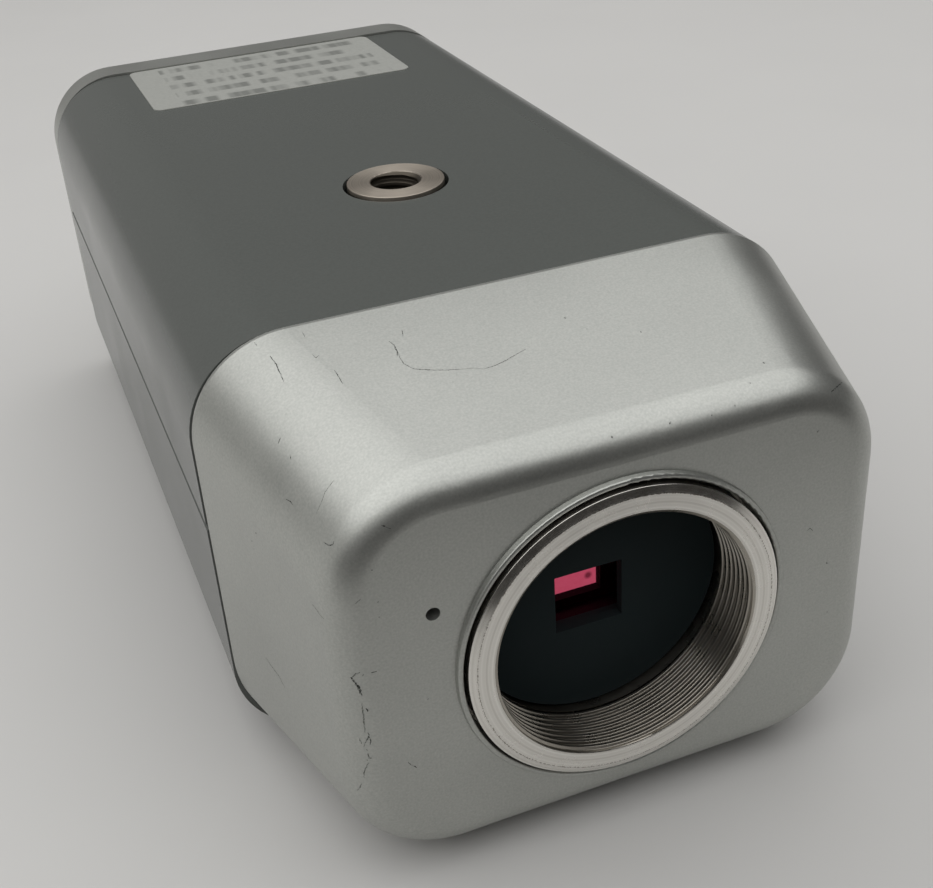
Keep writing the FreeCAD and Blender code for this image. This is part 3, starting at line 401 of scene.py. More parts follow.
def turned_metal(name, look, rough, centre, axis):
    """Metal cut on a lathe: its fine rings stretch each reflection, and its thread is smooth and dull."""
    dulling = 0.06
    face_fade = 0.04 * MM
    face_skin = 0.02 * MM
    least_reach = 0.01 * MM
    along = (0.0, 1.0, 0.0) if axis == "Y" else (0.0, 0.0, 1.0)
    material, tree, place = start(name)
    offset = add(tree, "VectorMath", {0: place, 1: centre}, operation="SUBTRACT")
    inward = add(tree, "VectorMath", {0: offset, 1: along}, operation="MULTIPLY")
    across = add(tree, "VectorMath", {0: offset, 1: inward}, operation="SUBTRACT")
    depth = add(tree, "VectorMath", {0: inward}, operation="LENGTH").outputs["Value"]
    radius = add(tree, "VectorMath", {0: across}, operation="LENGTH").outputs["Value"]
    line = add(tree, "TexNoise", {"W": radius, "Scale": per_mm(look.line_size), "Detail": 3.0},
               noise_dimensions="1D")
    stain = add(tree, "TexNoise", {"Vector": place, "Scale": per_mm(look.stain_size), "Detail": 4.0})
    lined = add(tree, "Mix", {"Factor": line, "A": look.metal_dark, "B": look.metal_light})
    # The turned tone shows on the face and on the outer wall down to the unshaded depth; the thread, the
    # mouth and the deeper wall take the thread tone, which is painted shade in the hole and the gaps
    outer = add(tree, "MapRange", {"Value": radius, "From Min": look.face_start - face_fade,
                                   "From Max": look.face_start})
    unshaded_depth = add(tree, "Math", {0: depth, 1: look.unshaded_depth}, operation="LESS_THAN")
    shown = add(tree, "Math", {0: outer, 1: unshaded_depth}, operation="MULTIPLY")
    tint = add(tree, "Mix", {"Factor": shown, "A": look.thread_tone_and_shade, "B": lined})
    level = add(tree, "MapRange", {"Value": depth, "From Min": face_skin, "From Max": face_skin + face_fade,
                                   "To Min": 1.0, "To Max": 0.0})
    face = add(tree, "Math", {0: outer, 1: level}, operation="MULTIPLY")
    from_edge = add(tree, "Math", {0: radius, 1: look.edge_radius}, operation="SUBTRACT")
    near_edge = add(tree, "Math", {0: from_edge}, operation="ABSOLUTE")
    grime = add(tree, "TexNoise", {"Vector": place, "Scale": per_mm(look.grime_size), "Detail": 2.0})
    reach = add(tree, "MapRange", {"Value": grime, "From Min": 0.45, "From Max": 0.74,
                                   "To Min": least_reach, "To Max": look.grime_reach})
    apart = add(tree, "Math", {0: near_edge, 1: reach}, operation="DIVIDE")
    caught = add(tree, "MapRange", {"Value": apart, "From Min": 0.3, "To Min": 0.8, "To Max": 0.0})
    soiled = add(tree, "Mix", {"Factor": caught, "A": tint, "B": look.grime})
    polish = add(tree, "MapRange", {"Value": stain, "From Min": 0.35, "From Max": 0.7,
                                    "To Min": rough, "To Max": rough + dulling})
    cut = add(tree, "MapRange", {"Value": shown, "To Min": dulling, "To Max": 0.0})
    dull = add(tree, "Math", {0: face, 1: dulling, 2: cut}, operation="MULTIPLY_ADD")
    shine = add(tree, "Math", {0: polish, 1: dull}, operation="ADD")
    relief = add(tree, "MapRange", {"Value": face, "To Max": 0.12})
    bump = add(tree, "Bump", {"Height": line, "Strength": relief, "Distance": 0.01 * MM})
    rings = add(tree, "Tangent", direction_type="RADIAL", axis=axis)
    return finish(material, {"Base Color": soiled, "Metallic": 1.0, "Roughness": shine, "Normal": bump,
                             "Anisotropic": 0.5, "Anisotropic Rotation": 0.25, "Tangent": rings})


def plain_metal(name, tones, rough, grain):
    """Plated or drawn metal: a fine uneven grain under a soft shine."""
    uneven = 0.1
    material, tree, place = start(name)
    noise = add(tree, "TexNoise", {"Vector": place, "Scale": per_mm(grain), "Detail": 4.0})
    tint = add(tree, "Mix", {"Factor": noise, "A": tones[0], "B": tones[1]})
    shine = add(tree, "MapRange", {"Value": noise, **NOISE_SPAN, "To Min": rough, "To Max": rough + uneven})
    bump = add(tree, "Bump", {"Height": noise, "Strength": 0.1, "Distance": 0.02 * MM})
    return finish(material, {"Base Color": tint, "Metallic": 1.0, "Roughness": shine, "Normal": bump})


def moulded(name, tones, rough, grain, ior=1.5):
    """Moulded plastic or rubber: the mould's fine sparked grain breaks up the shine."""
    patch_size = 6.0
    smoother = 0.04
    rougher = 0.06
    material, tree, place = start(name)
    noise = add(tree, "TexNoise", {"Vector": place, "Scale": per_mm(grain), "Detail": 3.0})
    patch = add(tree, "TexNoise", {"Vector": place, "Scale": per_mm(patch_size), "Detail": 2.0})
    tint = add(tree, "Mix", {"Factor": patch, "A": tones[0], "B": tones[1]})
    shine = add(tree, "MapRange", {"Value": patch, **NOISE_SPAN,
                                   "To Min": rough - smoother, "To Max": rough + rougher})
    bump = add(tree, "Bump", {"Height": noise, "Strength": 0.25, "Distance": 0.03 * MM})
    return finish(material, {"Base Color": tint, "Roughness": shine, "IOR": ior, "Normal": bump})


def circuit_board():
    """Glass fibre board under green solder lacquer: raised copper runs and bright tinned pads."""
    run_spacing = 3.5
    run_share = 0.12
    pad_spacing = 2.5
    pad_share = 0.16
    bare, covered = shades("#1D5A36", "#2F7A4A")
    material, tree, place = start("glass_fibre_board")
    run = add(tree, "TexVoronoi", {"Vector": place, "Scale": per_mm(run_spacing), "Randomness": 0.6},
              feature="DISTANCE_TO_EDGE", distance="EUCLIDEAN")
    copper = add(tree, "Math", {0: run, 1: run_share}, operation="LESS_THAN")
    pad = add(tree, "TexVoronoi", {"Vector": place, "Scale": per_mm(pad_spacing), "Randomness": 0.3})
    tinned = add(tree, "Math", {0: pad, 1: pad_share}, operation="LESS_THAN")
    lacquer = add(tree, "Mix", {"Factor": copper, "A": bare, "B": covered})
    plated = add(tree, "Mix", {"Factor": tinned, "A": lacquer, "B": linear("#B9B7AE")})
    bump = add(tree, "Bump", {"Height": copper, "Strength": 0.3, "Distance": 0.03 * MM})
    return finish(material, {"Base Color": plated, "Metallic": tinned, "Roughness": 0.35, "Normal": bump})


def filter_mirror(look, spot):
    """Infrared cut filter glass: its vapour coating mirrors red light, so it shows the table in pink."""
    dust_size = 0.35
    dark_spot_core = 0.4
    material, tree, place = start("coated_filter_glass")
    dust = add(tree, "TexNoise", {"Vector": place, "Scale": per_mm(dust_size), "Detail": 4.0})
    coating = add(tree, "Mix", {"Factor": dust, "A": look.filter_dark, "B": look.filter_light})
    # Darker round spot on the coating around one point, fading out towards its radius
    apart = add(tree, "VectorMath", {0: place, 1: spot}, operation="DISTANCE").outputs["Value"]
    dark_spot = add(tree, "MapRange", {"Value": apart, "From Min": look.dark_spot_radius * dark_spot_core,
                                    "From Max": look.dark_spot_radius, "To Min": 0.85, "To Max": 0.0})
    tint = add(tree, "Mix", {"Factor": dark_spot, "A": coating, "B": look.dark_spot})
    shine = add(tree, "MapRange", {"Value": dust, "To Max": 0.06})
    return finish(material, {"Base Color": tint, "Metallic": 1.0, "Roughness": shine})


def worn_paint(name, paint, mark):
    """Dirt and bared casting where the lacquer is cut, and painted shade in the dark specks that dim the
    front edge's
    highlight: dull, and broken up by paint that is left.
    """
    crumb_size = 0.22
    material, tree, place = start(name)
    grain = add(tree, "TexNoise", {"Vector": place, "Scale": per_mm(crumb_size), "Detail": 3.0})
    cut = add(tree, "MapRange", {"Value": grain, "From Min": 0.38, "From Max": 0.58})
    tint = add(tree, "Mix", {"Factor": cut, "A": paint, "B": mark})
    return finish(material, {"Base Color": tint, "Metallic": 0.85, "Roughness": 0.48})


def clear_glass():
    """Polished cover glass: clear, with a trace of dust."""
    dust_size = 0.3
    material, tree, place = start("polished_cover_glass")
    dust = add(tree, "TexNoise", {"Vector": place, "Scale": per_mm(dust_size), "Detail": 4.0})
    shine = add(tree, "MapRange", {"Value": dust, "To Min": 0.01, "To Max": 0.06})
    return finish(material, {"Base Color": linear("#F2F6F5"), "Roughness": shine,
                             "Transmission Weight": 1.0, "IOR": 1.52})


def lamp_lens():
    """Clear red acrylic: deep where it is thick, with a smooth dome."""
    cloud_size = 0.8
    deep, bright = shades("#A4150F", "#D2352A")
    material, tree, place = start("red_acrylic")
    cloud = add(tree, "TexNoise", {"Vector": place, "Scale": per_mm(cloud_size), "Detail": 2.0})
    tint = add(tree, "Mix", {"Factor": cloud, "A": deep, "B": bright})
    shine = add(tree, "MapRange", {"Value": cloud, "To Min": 0.12, "To Max": 0.2})
    return finish(material, {"Base Color": tint, "Roughness": shine,
                             "Transmission Weight": 0.35, "IOR": 1.49})


def label_film(look):
    """Matt polyester sticker: pale film with rows of worn grey print that spell nothing."""
    ink_left = 0.7
    fibre_size = 0.5
    material, tree, place = start("polyester_sticker_film")
    split = add(tree, "SeparateXYZ", {"Vector": place})
    row = add(tree, "Math", {0: split.outputs["Y"], 1: per_mm(look.row_pitch)}, operation="MULTIPLY")
    line = add(tree, "Math", {0: row}, operation="FRACT")
    number = add(tree, "Math", {0: row}, operation="FLOOR")
    inked = add(tree, "Math", {0: line, 1: look.row_height / look.row_pitch}, operation="LESS_THAN")
    spot = add(tree, "CombineXYZ", {"X": split.outputs["X"], "Y": number})
    words = add(tree, "TexNoise", {"Vector": spot, "Scale": per_mm(look.stroke_size), "Detail": 1.0})
    stroke = add(tree, "MapRange", {"Value": words, "From Min": 0.40, "From Max": 0.62})
    left = add(tree, "Math", {0: split.outputs["X"], 1: look.print_left}, operation="GREATER_THAN")
    right = add(tree, "Math", {0: split.outputs["X"], 1: look.print_right}, operation="LESS_THAN")
    shown = stroke
    for share in (inked, left, right, ink_left):
        shown = add(tree, "Math", {0: shown, 1: share}, operation="MULTIPLY")
    fibre = add(tree, "TexNoise", {"Vector": place, "Scale": per_mm(fibre_size), "Detail": 3.0})
    film = add(tree, "Mix", {"Factor": fibre, "A": look.film_dark, "B": look.film_light})
    printed = add(tree, "Mix", {"Factor": shown, "A": film, "B": look.ink})
    bump = add(tree, "Bump", {"Height": fibre, "Strength": 0.1, "Distance": 0.02 * MM})
    return finish(material, {"Base Color": printed, "Roughness": 0.45, "Normal": bump})


def table_laminate(look):
    """Matt laminate of a table: pale and even, with faint broad clouds."""
    cloud_size = 40
    material, tree, place = start("pale_table_laminate")
    cloud = add(tree, "TexNoise", {"Vector": place, "Scale": per_mm(cloud_size), "Detail": 2.0})
    level = add(tree, "MapRange", {"Value": cloud, "To Min": 0.98, "To Max": 1.02})
    toned = add(tree, "Mix", {"Factor": 1.0, "A": look.floor_colour, "B": level}, blend_type="MULTIPLY")
    return finish(material, {"Base Color": toned, "Roughness": 0.7})


def flag_cloth(look):
    """Dark woven cloth: it gives almost no light back."""
    weave_size = 5
    material, tree, place = start("dark_flag_cloth")
    weave = add(tree, "TexNoise", {"Vector": place, "Scale": per_mm(weave_size), "Detail": 2.0})
    tint = add(tree, "Mix", {"Factor": weave, "A": look.flag_dark, "B": look.flag_light})
    return finish(material, {"Base Color": tint, "Roughness": 0.9})


def settled(name, shape):
    """New object from a shape, smooth apart from its sharp edges."""
    mesh = bpy.data.meshes.new(name)
    shape.to_mesh(mesh)
    shape.free()
    mesh.shade_smooth()
    mesh.set_sharp_from_angle(angle=SHARP_ANGLE)
    piece = bpy.data.objects.new(name, mesh)
    bpy.context.scene.collection.objects.link(piece)
    return piece


def turned_piece(name, profile_at, steps, centre, upright):
    """Mesh turned about an axis: profile_at(turn) gives (radius, height) points at that share of a turn."""
    weld = 1e-4 * MM
    shape = bmesh.new()
    rings = []
    for step in range(steps + 1):
        turn = step / steps
        swing = (math.cos(2 * math.pi * turn), math.sin(2 * math.pi * turn))
        ring = []
        for radius, height in profile_at(turn):
            out = [radius * swing[0], radius * swing[1]]
            spot = Vector((*out, height)) if upright else Vector((out[0], height, out[1]))
            ring.append(shape.verts.new(centre + spot))
        rings.append(ring)
    for one, two in zip(rings, rings[1:]):
        for index in range(len(one)):
            after = (index + 1) % len(one)
            shape.faces.new((one[index], one[after], two[after], two[index]))
    bmesh.ops.remove_doubles(shape, verts=shape.verts, dist=weld)
    bmesh.ops.dissolve_degenerate(shape, edges=shape.edges, dist=weld)
    bmesh.ops.recalc_face_normals(shape, faces=shape.faces)
    return settled(name, shape)


def eased(corners, reach):
    """Profile whose inner corners are eased into short curves, with a row of points beside each of them."""
    beside = 1.5
    points = [Vector(corner) for corner in corners]
    profile = [points[0]]
    for before, corner, after in zip(points, points[1:], points[2:]):
        back = (before - corner).normalized() * reach
        onward = (after - corner).normalized() * reach
        profile.append(corner + back * beside)
        for share in (0.0, 0.33, 0.67, 1.0):
            profile.append(corner + back * (1 - share) ** 2 + onward * share ** 2)
        profile.append(corner + onward * beside)
    return profile + [points[-1]]


def thread_rows(look, crest, low, high, turn, mouth):
    """(radius, height) points of an inner thread at one share of a turn, from height low to high.

    Each turn of the thread is flat at its crest and its root, with a straight flank between them, and
    mouth(height) is the radius that a chamfer opens it to.
    """
    steps = 16
    step = look.thread_pitch / steps
    flank_rise = 6.4
    root_rise = 2.1
    count = math.ceil((high - low) / step) + steps
    rows = []
    for index in range(count + 1):
        height = low + (index - steps + turn * steps) * step
        phase = (index % steps) / steps
        swell = min(1.0, max(0.0, root_rise - abs(phase - 0.5) * flank_rise))
        height = min(high, max(low, height))
        rows.append((max(crest + look.thread_depth * swell, mouth(height)), height))
    return rows


def dress(piece, material):
    """Give a piece one material."""
    piece.data.materials.clear()
    piece.data.materials.append(material)


def dress_slots(finishes):
    """Give every node of each named slot that slot's material."""
    for node, slot in SLOTS.items():
        if slot in finishes:
            dress(frame["nodes"][node], finishes[slot])


def stand_for(piece, node, material):
    """Let a piece take the place of a node, on the node's body and with the given material."""
    dress(piece, material)
    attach(piece, frame["nodes"][node]["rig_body"])
    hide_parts(node)


def view_axes(look):
    """Rotation of the photograph's view."""
    aim = Vector(look.view_aim) - Vector(look.view_place)
    return aim.to_track_quat("-Z", "Y") @ Quaternion((0, 0, 1), look.view_roll)


def skin(node):
    """Search tree of a node's surface."""
    piece = frame["nodes"][node]
    shape = bmesh.new()
    shape.from_mesh(piece.data)
    shape.transform(piece.matrix_world)
    tree = BVHTree.FromBMesh(shape)
    shape.free()
    return tree


def surface_under(pixels, tree, look):
    """Points and normals where sight lines through pixels meet a surface."""
    turn = view_axes(look)
    focal = look.view_lens / SENSOR_WIDTH * PICTURE_WIDTH
    found = []
    for across, down in pixels:
        sight = turn @ Vector((across - PICTURE_WIDTH / 2, PICTURE_HEIGHT / 2 - down, -focal)).normalized()
        spot, normal, _, _ = tree.ray_cast(Vector(look.view_place), sight)
        if spot is None:
            raise RuntimeError("no surface under pixel {}, {}".format(across, down))
        found.append((spot, normal))
    return found


class CasingOperator(bpy.types.Operator):
    """Paint the nose, the rear panel and the two shells."""
    bl_idname = "boxcamera.casing"
    bl_label = "Paint casing"

    def execute(self, context):
        dress_slots({
            "silver_paint": silver_lacquer(context.scene.nose_look),
            "grey_paint": grey_lacquer(context.scene.shell_look),
        })
        return {"FINISHED"}


class InsideOperator(bpy.types.Operator):
    """Finish the boards, leads, screws and mouldings inside."""
    bl_idname = "boxcamera.inside"
    bl_label = "Finish inside"

    def execute(self, context):
        dress_slots({
            "green_board": circuit_board(),
            "black_plastic": moulded("black_abs", shades("#161718", "#1F2021"), rough=0.5, grain=0.15),
            "ivory_plastic": moulded("ivory_nylon", shades("#D2C9B2", "#DED6C0"), rough=0.45, grain=0.15),
            "white_film": moulded("white_polyester_lead", shades("#D9DBDB", "#E6E8E8"),
                                  rough=0.3, grain=0.4),
            "ferrite": moulded("pressed_ferrite", shades("#2B2B2D", "#3A3A3D"), rough=0.55, grain=0.1),
            "steel": plain_metal("zinc_plated_steel", shades("#A9ABAC", "#C8CACB"), rough=0.3, grain=0.3),
            "black_steel": plain_metal("blackened_steel", shades("#28282A", "#3B3B3D"),
                                       rough=0.35, grain=0.3),
        })
        can = plain_metal("drawn_aluminium", shades("#B9B9B5", "#D4D4D0"), rough=0.3, grain=0.4)
        dress(frame["nodes"]["board_capacitors"], can)
        return {"FINISHED"}


class RingOperator(bpy.types.Operator):
    """Turn the lens ring with its thread."""
    bl_idname = "boxcamera.ring"
    bl_label = "Turn lens ring"

    def execute(self, context):
        look = context.scene.ring_look
        low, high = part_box("lens_mount_ring")
        face = low.y
        depth = high.y - face
        flange_radius = (high.x - low.x) / 2
        flange_end = look.flange_depth + look.flange_thickness
        crest = MOUNTS["lens_thread"]["dims"]["r_mm"] * MM
        relief = look.spigot_radius - look.spigot_wall
        slope = look.mouth_width / look.mouth_depth
        # Share of the mouth's chamfer that lies in front of the first turn of the thread
        lead = 0.2
        thread_start = look.mouth_depth * lead

        outside = eased([
            (relief, look.thread_end),
            (relief, depth),
            (look.spigot_radius, depth),
            (look.spigot_radius, flange_end),
            (flange_radius, flange_end),
            (flange_radius, look.flange_depth),
            (look.face_radius, look.flange_depth),
            (look.face_radius, look.bevel_depth),
            (look.face_radius - look.bevel_width, 0.0),
            (crest + look.mouth_width, 0.0),
            (crest + look.mouth_width * (1 - lead), thread_start),
        ], look.edge_ease)

        def mouth(height):
            return crest + look.mouth_width - height * slope

        def profile(turn):
            return thread_rows(look, crest, thread_start, look.thread_end, turn, mouth) + outside

        centre = Vector(((low.x + high.x) / 2, face, (low.z + high.z) / 2))
        ring = turned_piece("threaded_lens_ring", profile, steps=256, centre=centre, upright=False)
        metal = turned_metal("turned_aluminium", look, rough=0.2, centre=centre, axis="Y")
        stand_for(ring, "lens_mount_ring", metal)
        return {"FINISHED"}


class SensorOperator(bpy.types.Operator):
    """Finish the sensor block behind the lens ring."""
    bl_idname = "boxcamera.sensor"
    bl_label = "Finish sensor block"

    def execute(self, context):
        spot, _ = surface_under([DARK_SPOT], skin("ir_cut_filter"), context.scene.stage_look)[0]
        dress_slots({
            "filter_glass": filter_mirror(context.scene.ring_look, spot),
            "clear_glass": clear_glass(),
            "ceramic_body": moulded("glazed_ceramic", shades("#4A413D", "#5D524C"),
                                    rough=0.3, grain=0.2, ior=1.6),
            "black_rubber": moulded("black_silicone_rubber", shades("#0F0F10", "#181819"),
                                    rough=0.6, grain=0.15),
        })
        matt = moulded("matt_black_carriage", shades("#141E20", "#1C2729"), rough=0.8, grain=0.12, ior=1.35)
        dress(frame["nodes"]["sensor_carriage"], matt)
        return {"FINISHED"}


class SocketOperator(bpy.types.Operator):
    """Turn the tripod socket with its thread."""
    bl_idname = "boxcamera.socket"
    bl_label = "Turn tripod socket"

    def execute(self, context):
        look = context.scene.socket_look
        low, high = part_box("tripod_bushing")
        plate_low, plate_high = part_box("tripod_bracket")
        flange_radius = (high.x - low.x) / 2
        crest = MOUNTS["tripod_thread"]["dims"]["r_mm"] * MM
        slope = (look.edge_radius - crest) / look.mouth_depth
        # Share of the mouth's chamfer that lies above the first turn of the thread
        lead = 0.3
        thread_start = high.z - look.mouth_depth * lead

        outside = eased([
            (look.edge_radius - look.mouth_depth * lead * slope, thread_start),
            (look.edge_radius, high.z),
            (look.collar_radius, high.z),
            (look.collar_radius, plate_high.z),
            (look.spigot_radius, plate_high.z),
            (look.spigot_radius, plate_low.z),
            (flange_radius, plate_low.z),
            (flange_radius, low.z),
        ], look.edge_ease)

        def mouth(height):
            return look.edge_radius - (high.z - height) * slope

        def profile(turn):
            return thread_rows(look, crest, low.z, thread_start, turn, mouth) + outside

        foot = Vector(((low.x + high.x) / 2, (low.y + high.y) / 2, 0.0))
        bushing = turned_piece("threaded_tripod_bushing", profile, steps=128, centre=foot, upright=True)
        top = foot + Vector((0.0, 0.0, high.z))
        plated = turned_metal("nickel_plated_steel", look, rough=0.4, centre=top, axis="Z")
        stand_for(bushing, "tripod_bushing", plated)
        return {"FINISHED"}


class LabelOperator(bpy.types.Operator):
    """Lay the sticker on the upper shell."""
    bl_idname = "boxcamera.label"
    bl_label = "Lay sticker"

    def execute(self, context):
        look = context.scene.label_look
        low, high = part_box("rating_label")
        corner_steps = 8
        shape = bmesh.new()
        rim = []
        for side, along in ((1, 1), (-1, 1), (-1, -1), (1, -1)):
            corner = Vector(((high.x if side > 0 else low.x) - side * look.corner_radius,
                             (high.y if along > 0 else low.y) - along * look.corner_radius, 0.0))
            begin = math.atan2(along, side) - math.pi / 4
            for step in range(corner_steps + 1):
                swing = begin + step / corner_steps * math.pi / 2
                rim.append((corner, Vector((math.cos(swing), math.sin(swing), 0.0))))
        layers = []
        for inset, height in ((0.0, low.z), (0.0, high.z - look.edge_ease), (look.edge_ease, high.z),
                              (look.edge_ease * 2, high.z)):
            reach = look.corner_radius - inset
            rise = Vector((0, 0, height))
            layers.append([shape.verts.new(corner + out * reach + rise) for corner, out in rim])
        for lower, upper in zip(layers, layers[1:]):
            for index in range(len(rim)):
                after = (index + 1) % len(rim)
                shape.faces.new((lower[index], lower[after], upper[after], upper[index]))
        shape.faces.new(layers[-1])
        shape.faces.new(layers[0][::-1])
        sheet = settled("rounded_sticker", shape)
        stand_for(sheet, "rating_label", label_film(look))
        return {"FINISHED"}


class RearOperator(bpy.types.Operator):
    """Finish the sockets, buttons, selector and lamp at the rear."""
    bl_idname = "boxcamera.rear"
    bl_label = "Finish rear connections"

    def execute(self, context):
        look = context.scene.socket_look
        plating = (look.metal_dark, look.metal_light)
        nickel = plain_metal("nickel_plated_brass", plating, rough=0.2, grain=0.6)
        for name in ("video_jack_shell", "video_jack_washer", "video_jack_nut", "power_jack_pin"):
            dress(frame["nodes"][name], nickel)
        dress_slots({
            "gilt_contact": plain_metal("gilt_brass", shades("#B98F45", "#DDB868"), rough=0.2, grain=0.5),
            "button_plastic": moulded("dark_abs_buttons", shades("#2C2D2D", "#373838"),
                                      rough=0.45, grain=0.12),
            "white_plastic": moulded("white_nylon", shades("#DAD9D3", "#E6E5DF"), rough=0.4, grain=0.15),
            "red_lens": lamp_lens(),
        })
        return {"FINISHED"}


class WearOperator(bpy.types.Operator):
    """Lay the scratches and chips that the photograph shows on the nose; some specks on the front edge are
    partly painted shade.
    """
    bl_idname = "boxcamera.wear"
    bl_label = "Wear nose"

    def execute(self, context):
        look = context.scene.wear_look
        view = context.scene.stage_look
        paint = context.scene.nose_look.paint_dark
        tree = skin("front_bezel")
        chance = random.Random(look.seed)
        dark = bmesh.new()
        faint = bmesh.new()
        for shape, scratches in ((dark, DARK_SCRATCHES), (faint, FAINT_SCRATCHES)):
            for width, way in scratches:
                self.scratch(shape, width * MM, way, tree, look, view, chance)
        # Some of these lie along the right of the front edge, where they are partly painted shade that dims
        # its highlight
        for width, spot in CHIPS_AND_SHADE_SPECKS:
            self.chip(dark, width * MM, spot, tree, look, view, chance)
        self.lay("nose_scratches", dark, worn_paint("dirty_scratch_and_painted_shade", paint, look.dark))
        self.lay("nose_rubs", faint, worn_paint("rubbed_paint", paint, look.faint))
        return {"FINISHED"}

    def lay(self, name, shape, material):
        """Finish one layer of marks and let it ride with the casing."""
        marks = settled(name, shape)
        dress(marks, material)
        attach(marks, frame["nodes"]["front_bezel"]["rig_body"])

    def scratch(self, shape, width, way, tree, look, view, chance):
        """Thin raised burr along a way of pixels, narrow at both ends and uneven between."""
        tip = 0.25
        uneven = (0.6, 1.2)
        wander = 0.25
        foot = 0.3
        pixels = []
        for one, two in zip(way, way[1:]):
            count = max(1, round(math.dist(one, two) / look.step))
            pixels += [Vector(one).lerp(Vector(two), step / count) for step in range(count)]
        found = surface_under(pixels + [way[-1]], tree, view)
        rows = []
        for index, (spot, normal) in enumerate(found):
            ahead = found[min(index + 1, len(found) - 1)][0] - found[max(index - 1, 0)][0]
            side = normal.cross(ahead).normalized()
            share = index / (len(found) - 1)
            swell = tip + (1 - tip) * math.sin(math.pi * share) ** 0.5
            half = width / 2 * swell * chance.uniform(*uneven)
            drift = side * chance.uniform(-wander, wander) * width
            rows.append([shape.verts.new(spot + drift + side * half * across + normal * look.lift * rise)
                         for across, rise in ((-1, foot), (0, 1), (1, foot))])
        for one, two in zip(rows, rows[1:]):
            for index in (0, 1):
                shape.faces.new((one[index], one[index + 1], two[index + 1], two[index]))

    def chip(self, shape, width, spot, tree, look, view, chance):
        """Flat ragged patch around one pixel: bared casting, or painted shade where it dims the front
        edge's highlight.
        """
        steps = 14
        ragged = (0.55, 1.25)
        stretch = 0.35
        rim_lift = look.lift / 2
        middle, normal = surface_under([spot], tree, view)[0]
        side = normal.orthogonal().normalized()
        other = normal.cross(side)
        hub = shape.verts.new(middle + normal * look.lift)
        lean = chance.uniform(0, math.tau)
        rim = []
        for step in range(steps):
            swing = step / steps * math.tau
            reach = width / 2 * chance.uniform(*ragged) * (1 + stretch * math.cos(2 * swing - lean))
            out = side * math.cos(swing) + other * math.sin(swing)
            edge, upright, _, _ = tree.find_nearest(middle + out * reach)
            rim.append(shape.verts.new(edge + upright * rim_lift))
        for index, vert in enumerate(rim):
            shape.faces.new((hub, vert, rim[(index + 1) % len(rim)]))


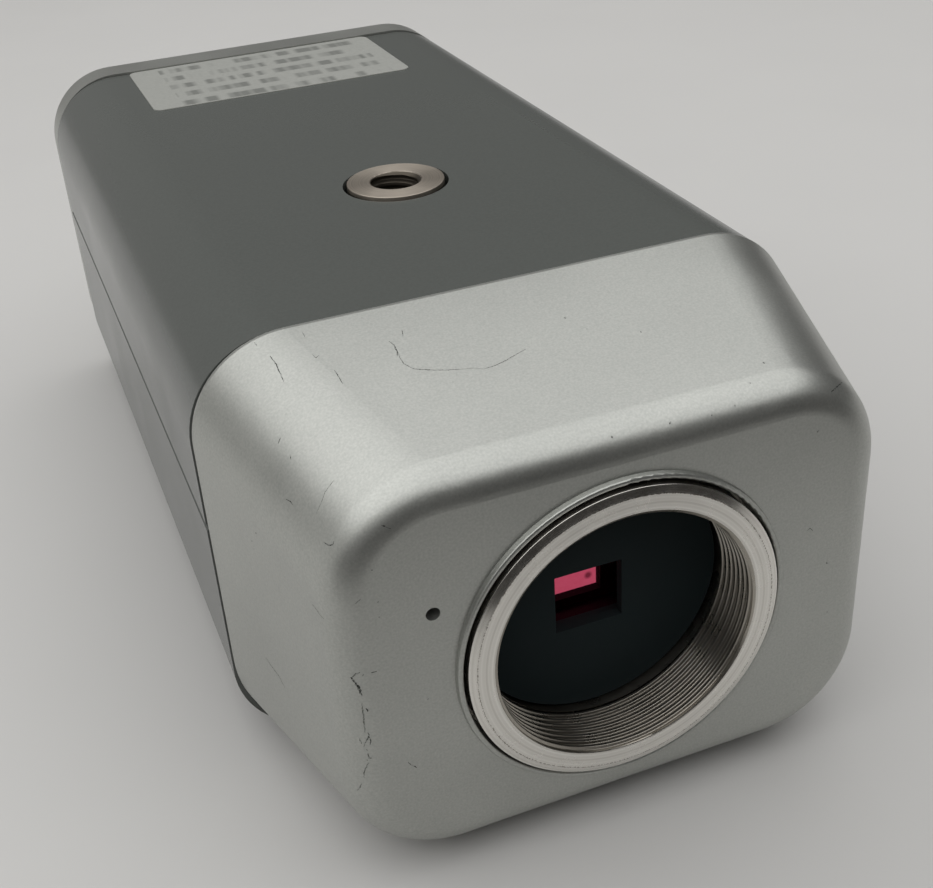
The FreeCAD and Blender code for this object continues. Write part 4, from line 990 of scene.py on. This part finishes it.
class StageOperator(bpy.types.Operator):
    """Set up the floor, the light and the photograph's view."""
    bl_idname = "boxcamera.stage"
    bl_label = "Set stage"

    def execute(self, context):
        look = context.scene.stage_look
        self.floor(look)
        self.lamp(context, look)
        self.room(context, look)
        self.flag(look)
        self.view(context, look)
        context.scene.view_settings.view_transform = "Standard"
        return {"FINISHED"}

    def board(self, name, corners, material):
        """Flat stage board between four corners."""
        mesh = bpy.data.meshes.new(name)
        mesh.from_pydata(corners, [], [(0, 1, 2, 3)])
        piece = bpy.data.objects.new(name, mesh)
        bpy.context.scene.collection.objects.link(piece)
        dress(piece, material)
        return piece

    def floor(self, look):
        """Pale table, wide enough to fill the view."""
        reach = 4.0
        corners = [(-reach, -reach, 0), (reach, -reach, 0), (reach, reach, 0), (-reach, reach, 0)]
        self.board("floor", corners, table_laminate(look))

    def lamp(self, context, look):
        """Soft box above."""
        lamp = bpy.data.lights.new("softbox", "AREA")
        lamp.shape = "RECTANGLE"
        lamp.size = look.box_width
        lamp.size_y = look.box_length
        lamp.energy = look.box_level * math.pi * look.box_width * look.box_length
        box = bpy.data.objects.new("softbox", lamp)
        box.location = look.box_place
        context.scene.collection.objects.link(box)

    def room(self, context, look):
        """Soft light of the room, stronger on the left."""
        world = bpy.data.worlds.new("room")
        world.use_nodes = True
        tree = world.node_tree
        tree.nodes.clear()
        way = add(tree, "SeparateXYZ", {"Vector": add(tree, "TexCoord").outputs["Generated"]})
        level = add(tree, "MapRange", {"Value": way.outputs["X"], "From Min": -1.0,
                                       "To Min": look.left_level, "To Max": look.right_level})
        light = add(tree, "Background", {"Color": look.room_colour, "Strength": level})
        add(tree, "OutputWorld", {"Surface": light})
        context.scene.world = world

    def flag(self, look):
        """Dark board in front of the nose, which the metal mirrors and the view looks through."""
        half = look.flag_width / 2
        front = -look.flag_reach
        corners = [(-half, front, 0.0), (half, front, 0.0), (half, front, look.flag_height),
                   (-half, front, look.flag_height)]
        flag = self.board("flag", corners, flag_cloth(look))
        flag.visible_camera = False

    def view(self, context, look):
        """Camera at the photograph's place."""
        lens = bpy.data.cameras.new("view")
        lens.lens = look.view_lens
        lens.sensor_width = SENSOR_WIDTH
        lens.sensor_fit = "HORIZONTAL"
        lens.clip_start = MM
        view = bpy.data.objects.new("view", lens)
        view.location = look.view_place
        view.rotation_mode = "QUATERNION"
        view.rotation_quaternion = view_axes(look)
        context.scene.collection.objects.link(view)
        context.scene.camera = view


LOOKS = {"nose_look": NoseLook, "shell_look": ShellLook, "ring_look": RingLook, "socket_look": SocketLook,
         "label_look": LabelLook, "wear_look": WearLook, "stage_look": StageLook}
STEPS = [CasingOperator, InsideOperator, RingOperator, SensorOperator, SocketOperator, LabelOperator,
         RearOperator, WearOperator, StageOperator]


class BoxCameraPanel(bpy.types.Panel):
    """Steps that dress the box camera."""
    bl_idname = "VIEW3D_PT_box_camera"
    bl_label = "Box camera"
    bl_space_type = "VIEW_3D"
    bl_region_type = "UI"
    bl_category = "Box camera"

    def draw(self, context):
        for step in STEPS:
            self.layout.operator(step.bl_idname)


def register():
    for name, look in LOOKS.items():
        bpy.utils.register_class(look)
        setattr(bpy.types.Scene, name, bpy.props.PointerProperty(type=look))
    for step in STEPS + [BoxCameraPanel]:
        bpy.utils.register_class(step)


def unregister():
    for step in [BoxCameraPanel] + STEPS[::-1]:
        bpy.utils.unregister_class(step)
    for name, look in LOOKS.items():
        delattr(bpy.types.Scene, name)
        bpy.utils.unregister_class(look)


def main():
    register()
    for step in STEPS:
        group, name = step.bl_idname.split(".")
        getattr(getattr(bpy.ops, group), name)()


if __name__ == "__main__":
    main()
